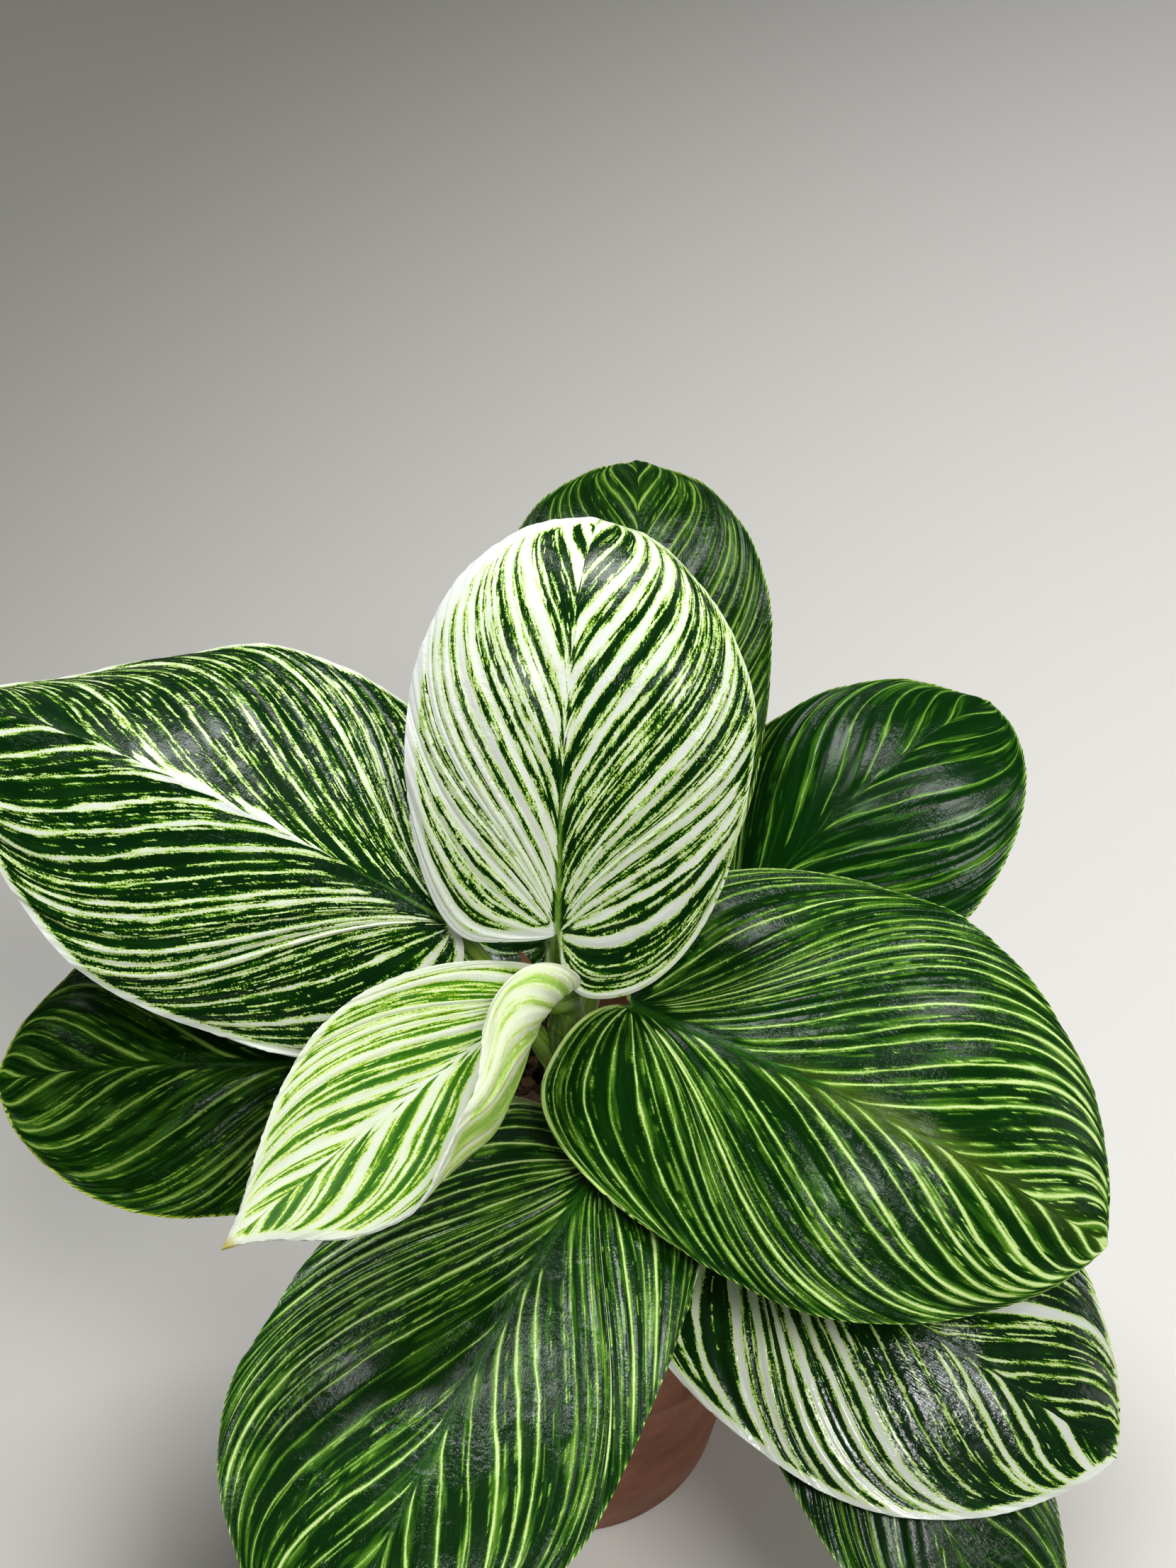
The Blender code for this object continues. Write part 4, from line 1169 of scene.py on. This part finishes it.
def scatter(count, low, high, flat, seed, lift):
    """count blocks of 26 points each: corners of a 3 by 3 by 3 lattice pushed to a rounded
    box, stretched by random sides between low and high, turned by random angles and laid
    on the ground at a random place. Gives points, faces and one random shade a block."""
    rng = np.random.default_rng(seed)
    axis = np.array([-1, 0, 1])
    lattice = np.array(np.meshgrid(axis, axis, axis, indexing="ij")).reshape(3, -1).T
    keep = np.abs(lattice).max(1) > 0
    base = lattice[keep] / np.linalg.norm(lattice[keep], axis=1, keepdims=True) ** 0.55
    number = np.full(27, -1)
    number[keep] = np.arange(26)
    size = rng.uniform(low, high, (count, 3)) / 2 * (1, 1, flat)
    x, y, z = np.moveaxis(base * (1 + rng.normal(0, 0.14, (count, 26, 1))) * size[:, None], -1, 0)
    turn, tip = rng.uniform(0, 2 * np.pi, (count, 1)), rng.normal(0, 0.35, (2, count, 1))
    c, s = np.cos(turn), np.sin(turn)
    spun = np.stack([c * x - s * y, s * x + c * y, z + tip[0] * x + tip[1] * y], -1)
    angle = rng.uniform(0, 2 * np.pi, count)
    radius = np.sqrt(rng.uniform(0.03, 1, count)) * (SOIL_R - high * 0.62)
    place = turned(radius, angle, ground(angle, radius) + lift)
    faces = block_faces(number.reshape(3, 3, 3)) + 26 * np.arange(count)[:, None, None]
    shade = np.repeat(rng.uniform(0, 1, count), 26)
    return (spun + place[:, None]).reshape(-1, 3), faces.reshape(-1, 4), shade


def shaded_piece(name, points, faces, shade):
    """A piece whose points carry one random shade for each block."""
    made = make_piece(name, points, faces)
    layer = made.data.attributes.new("shade", "FLOAT", "POINT")
    layer.data.foreach_set("value", shade.astype(np.float32))
    work = bmesh.new()
    work.from_mesh(made.data)
    bmesh.ops.recalc_face_normals(work, faces=work.faces)
    work.to_mesh(made.data)
    work.free()
    return made


chips = shaded_piece("bark_chips", *scatter(420, 2.5, 8.0, 0.45, 11, 0.9))
crumbs = shaded_piece("fine_crumbs", *scatter(500, 1.0, 2.8, 0.7, 12, 0.5))
perlite = shaded_piece("perlite", *scatter(70, 1.4, 3.2, 0.8, 13, 1.0))
print("faces:", {piece.name: len(piece.data.polygons) for piece in (chips, crumbs, perlite)})

# %% Soil finishes
soil_finish, board, shader = new_finish("potting_ground", 0.95)
lumps = board.noise(board.place(), 420, 4, 0.65)
board.feed(shader["Base Color"], board.ramp(lumps, [
    (0.35, 26, 20, 15), (0.55, 52, 40, 30), (0.72, 84, 66, 48)]))
board.bump(shader, lumps, 0.9, 0.0015)

bark_finish, board, shader = new_finish("bark", 0.85)
x, y, z = board.parts(board.place())
grain = board.noise((x * 300, y * 900, z * 900), detail=3, roughness=0.6)
tint = board.ramp(board.attribute("shade", "Fac"), [
    (0.0, 52, 34, 24), (0.45, 92, 62, 40), (0.8, 128, 92, 60), (1.0, 150, 118, 84)])
board.feed(shader["Base Color"], board.mix(board.step(grain, 0.35, 0.7, 0, 0.55), tint, (60, 42, 30)))
board.bump(shader, grain, 0.8, 0.0008)

perlite_finish, board, shader = new_finish("perlite", 0.9)
pores = board.noise(board.place(), 1800, 3, 0.6)
board.feed(shader["Base Color"], board.ramp(pores, [(0.35, 186, 182, 172), (0.6, 226, 224, 216)]))
board.bump(shader, pores, 0.7, 0.0004)

for piece, finish in ((soil, soil_finish), (chips, bark_finish), (crumbs, bark_finish),
                      (perlite, perlite_finish)):
    piece.data.materials.append(finish)
    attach(piece, "root")
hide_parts("soil")
print("soil finishes ready")

# %% [markdown]
# ## Pot
# A plain clay pot with a broad rim. It is thrown on a wheel, so it is one profile turned
# about the axis, down its outer side and up its inner side, with every edge rounded. The
# finish is unglazed clay: a mottled brown, with a pale mineral bloom low on the wall and
# under the rim, where water has dried. Three drainage holes are cut through the floor.

# %% Pot shape
POT_H, BASE_R, SHOULDER_R, RIM_R, RIM_DROP, WALL, FLOOR = 118.0, 43.0, 56.5, 62.0, 24.0, 4.5, 6.0
LIP = POT_H - RIM_DROP


def inner_radius(z):
    """The inside of the wall: a straight taper between the floor and the rim."""
    low, high = BASE_R - WALL + 1.5, SHOULDER_R - WALL + 1.2
    return low + (high - low) * (z - FLOOR) / (POT_H - FLOOR)


def rounded(corners, reach, steps):
    """A profile whose corners are replaced by quadratic curves that start reach before."""
    p = np.array(corners, float)
    ahead, behind = p[2:] - p[1:-1], p[:-2] - p[1:-1]
    far, near = np.linalg.norm(ahead, axis=1), np.linalg.norm(behind, axis=1)
    r = np.minimum(np.array(reach, float), 0.45 * np.minimum(far, near))
    a = p[1:-1] + behind / near[:, None] * r[:, None]
    b = p[1:-1] + ahead / far[:, None] * r[:, None]
    t = np.linspace(0, 1, steps)[None, :, None]
    bend = (1 - t) ** 2 * a[:, None] + 2 * (1 - t) * t * p[1:-1, None] + t ** 2 * b[:, None]
    return np.concatenate([p[:1], bend.reshape(-1, 2), p[-1:]])


def pot_profile():
    """The rounded profile with a point at least every 2.2 mm. Where it is the outer wall,
    two sines of the height draw it in by the faint rings that fingers leave on a wheel."""
    corners = [(0, FLOOR), (inner_radius(FLOOR), FLOOR), (inner_radius(POT_H), POT_H),
               (RIM_R + 0.6, POT_H), (RIM_R, LIP), (SHOULDER_R, LIP), (BASE_R, 0), (0, 0)]
    line = rounded(corners, [3.0, 1.6, 1.5, 1.2, 0.8, 1.5], 7)
    run = np.concatenate([[0], np.cumsum(np.linalg.norm(np.diff(line, axis=0), axis=1))])
    fine = np.unique(np.concatenate([run, np.arange(0, run[-1], 2.2)]))
    r, z = (np.interp(fine, run, line[:, k]) for k in (0, 1))
    fingers = 0.16 + 0.10 * np.sin(z * 2.1) + 0.06 * np.sin(z * 4.7 + 1)
    outer = (r > inner_radius(z) + 2) & (z > 3) & (z < POT_H - 3)
    return r - np.where(outer, fingers, 0), z


r, z = pot_profile()
around = np.linspace(0, 2 * np.pi, 144, endpoint=False)
wall = turned(r[:, None], around, z[:, None])
pot = welded(make_piece("clay_pot", wall.reshape(-1, 3), grid_faces(*wall.shape[:2], wrap=True)))
print("pot faces before drilling", len(pot.data.polygons))

# %% Drainage holes
DRAIN_R, DRAIN_AT, DRAIN_TURNS, DRILL_SIDES = 4.0, 20.0, (90, 210, 330), 40
ring = np.linspace(0, 2 * np.pi, DRILL_SIDES, endpoint=False)
ends = ((0, -3.0), (DRAIN_R, -3.0), (DRAIN_R, FLOOR + 3.0), (0, FLOOR + 3.0))    # radius, height
can = np.stack([turned(radius, ring, height) for radius, height in ends])
axes = turned(DRAIN_AT, np.radians(DRAIN_TURNS), 0)
drill = welded(make_piece("drill", (can + axes[:, None, None]).reshape(-1, 3), np.concatenate(
    [grid_faces(4, DRILL_SIDES, 4 * DRILL_SIDES * k, wrap=True) for k in range(len(axes))])))
cut = pot.modifiers.new("drains", "BOOLEAN")
cut.operation, cut.solver, cut.object = "DIFFERENCE", "EXACT", drill
applied(pot)
bpy.data.objects.remove(drill, do_unlink=True)
pot.data.shade_smooth()
pot.data.set_sharp_from_angle(angle=np.radians(40))
print("pot faces", len(pot.data.polygons))

# %% Pot finish
clay, board, shader = new_finish("clay", 0.85)
spot = board.place()
x, y, z = board.parts(spot)
mottle = board.noise(spot, 38, 4, 0.6)
speck = board.noise(spot, 900)
base = board.ramp(mottle, [(0.3, 112, 66, 44), (0.5, 132, 80, 54), (0.7, 148, 92, 64)])
base = board.mix(board.step(speck, 0.56, 0.68, 0, 0.5), base, (98, 60, 44))
damp = board.noise(spot, 26, 3, 0.6)
low = board.step(damp * 0.05 + z, 0.052, 0.016)
under = board.step(z, 0.070, 0.094) * board.step(z, 0.0945, 0.0935)
bloom = low.most(under * 0.7) * board.step(damp, 0.42, 0.66, 0, 0.4)
board.feed(shader["Base Color"], board.mix(bloom, base, (206, 188, 172)))
scratch = board.noise((x * 40, y * 40, z * 1500))
board.bump(shader, scratch * 0.5 + speck * 0.6, 0.5, 0.0004)
board.feed(shader["Roughness"], board.step(mottle, 0.3, 0.7, 0.92, 0.76))
pot.data.materials.append(clay)
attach(pot, "root")
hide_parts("pot")
print("clay ready")

# %% [markdown]
# ## Root ball
# Under the top layer the mix is bound by roots into one plug. Only its underside shows,
# through the drainage holes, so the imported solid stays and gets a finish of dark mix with
# pale roots, which are the thin ridges of a stretched cell pattern.

# %% Root ball finish
roots, board, shader = new_finish("rooted_mix", 0.95)
spot = board.place()
x, y, z = board.parts(spot)
warp = board.noise(spot, 120) * 0.02
cells = board.wired("TexVoronoi", {"Vector": (x + warp, y - warp, z), "Scale": 130}, "Distance",
                    feature="DISTANCE_TO_EDGE")
thread = board.step(cells, 0.02, 0.09, 1, 0)
fines = board.noise(spot, 500, 3)
earth = board.ramp(fines, [(0.35, 40, 30, 22), (0.65, 78, 60, 42)])
board.feed(shader["Base Color"], board.mix(thread * 0.75, earth, (196, 178, 142)))
board.bump(shader, thread + fines * 0.6, 0.7, 0.001)
for material_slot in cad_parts["root_ball"].material_slots:
    material_slot.material = roots
print("root ball slots", len(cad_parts["root_ball"].material_slots))
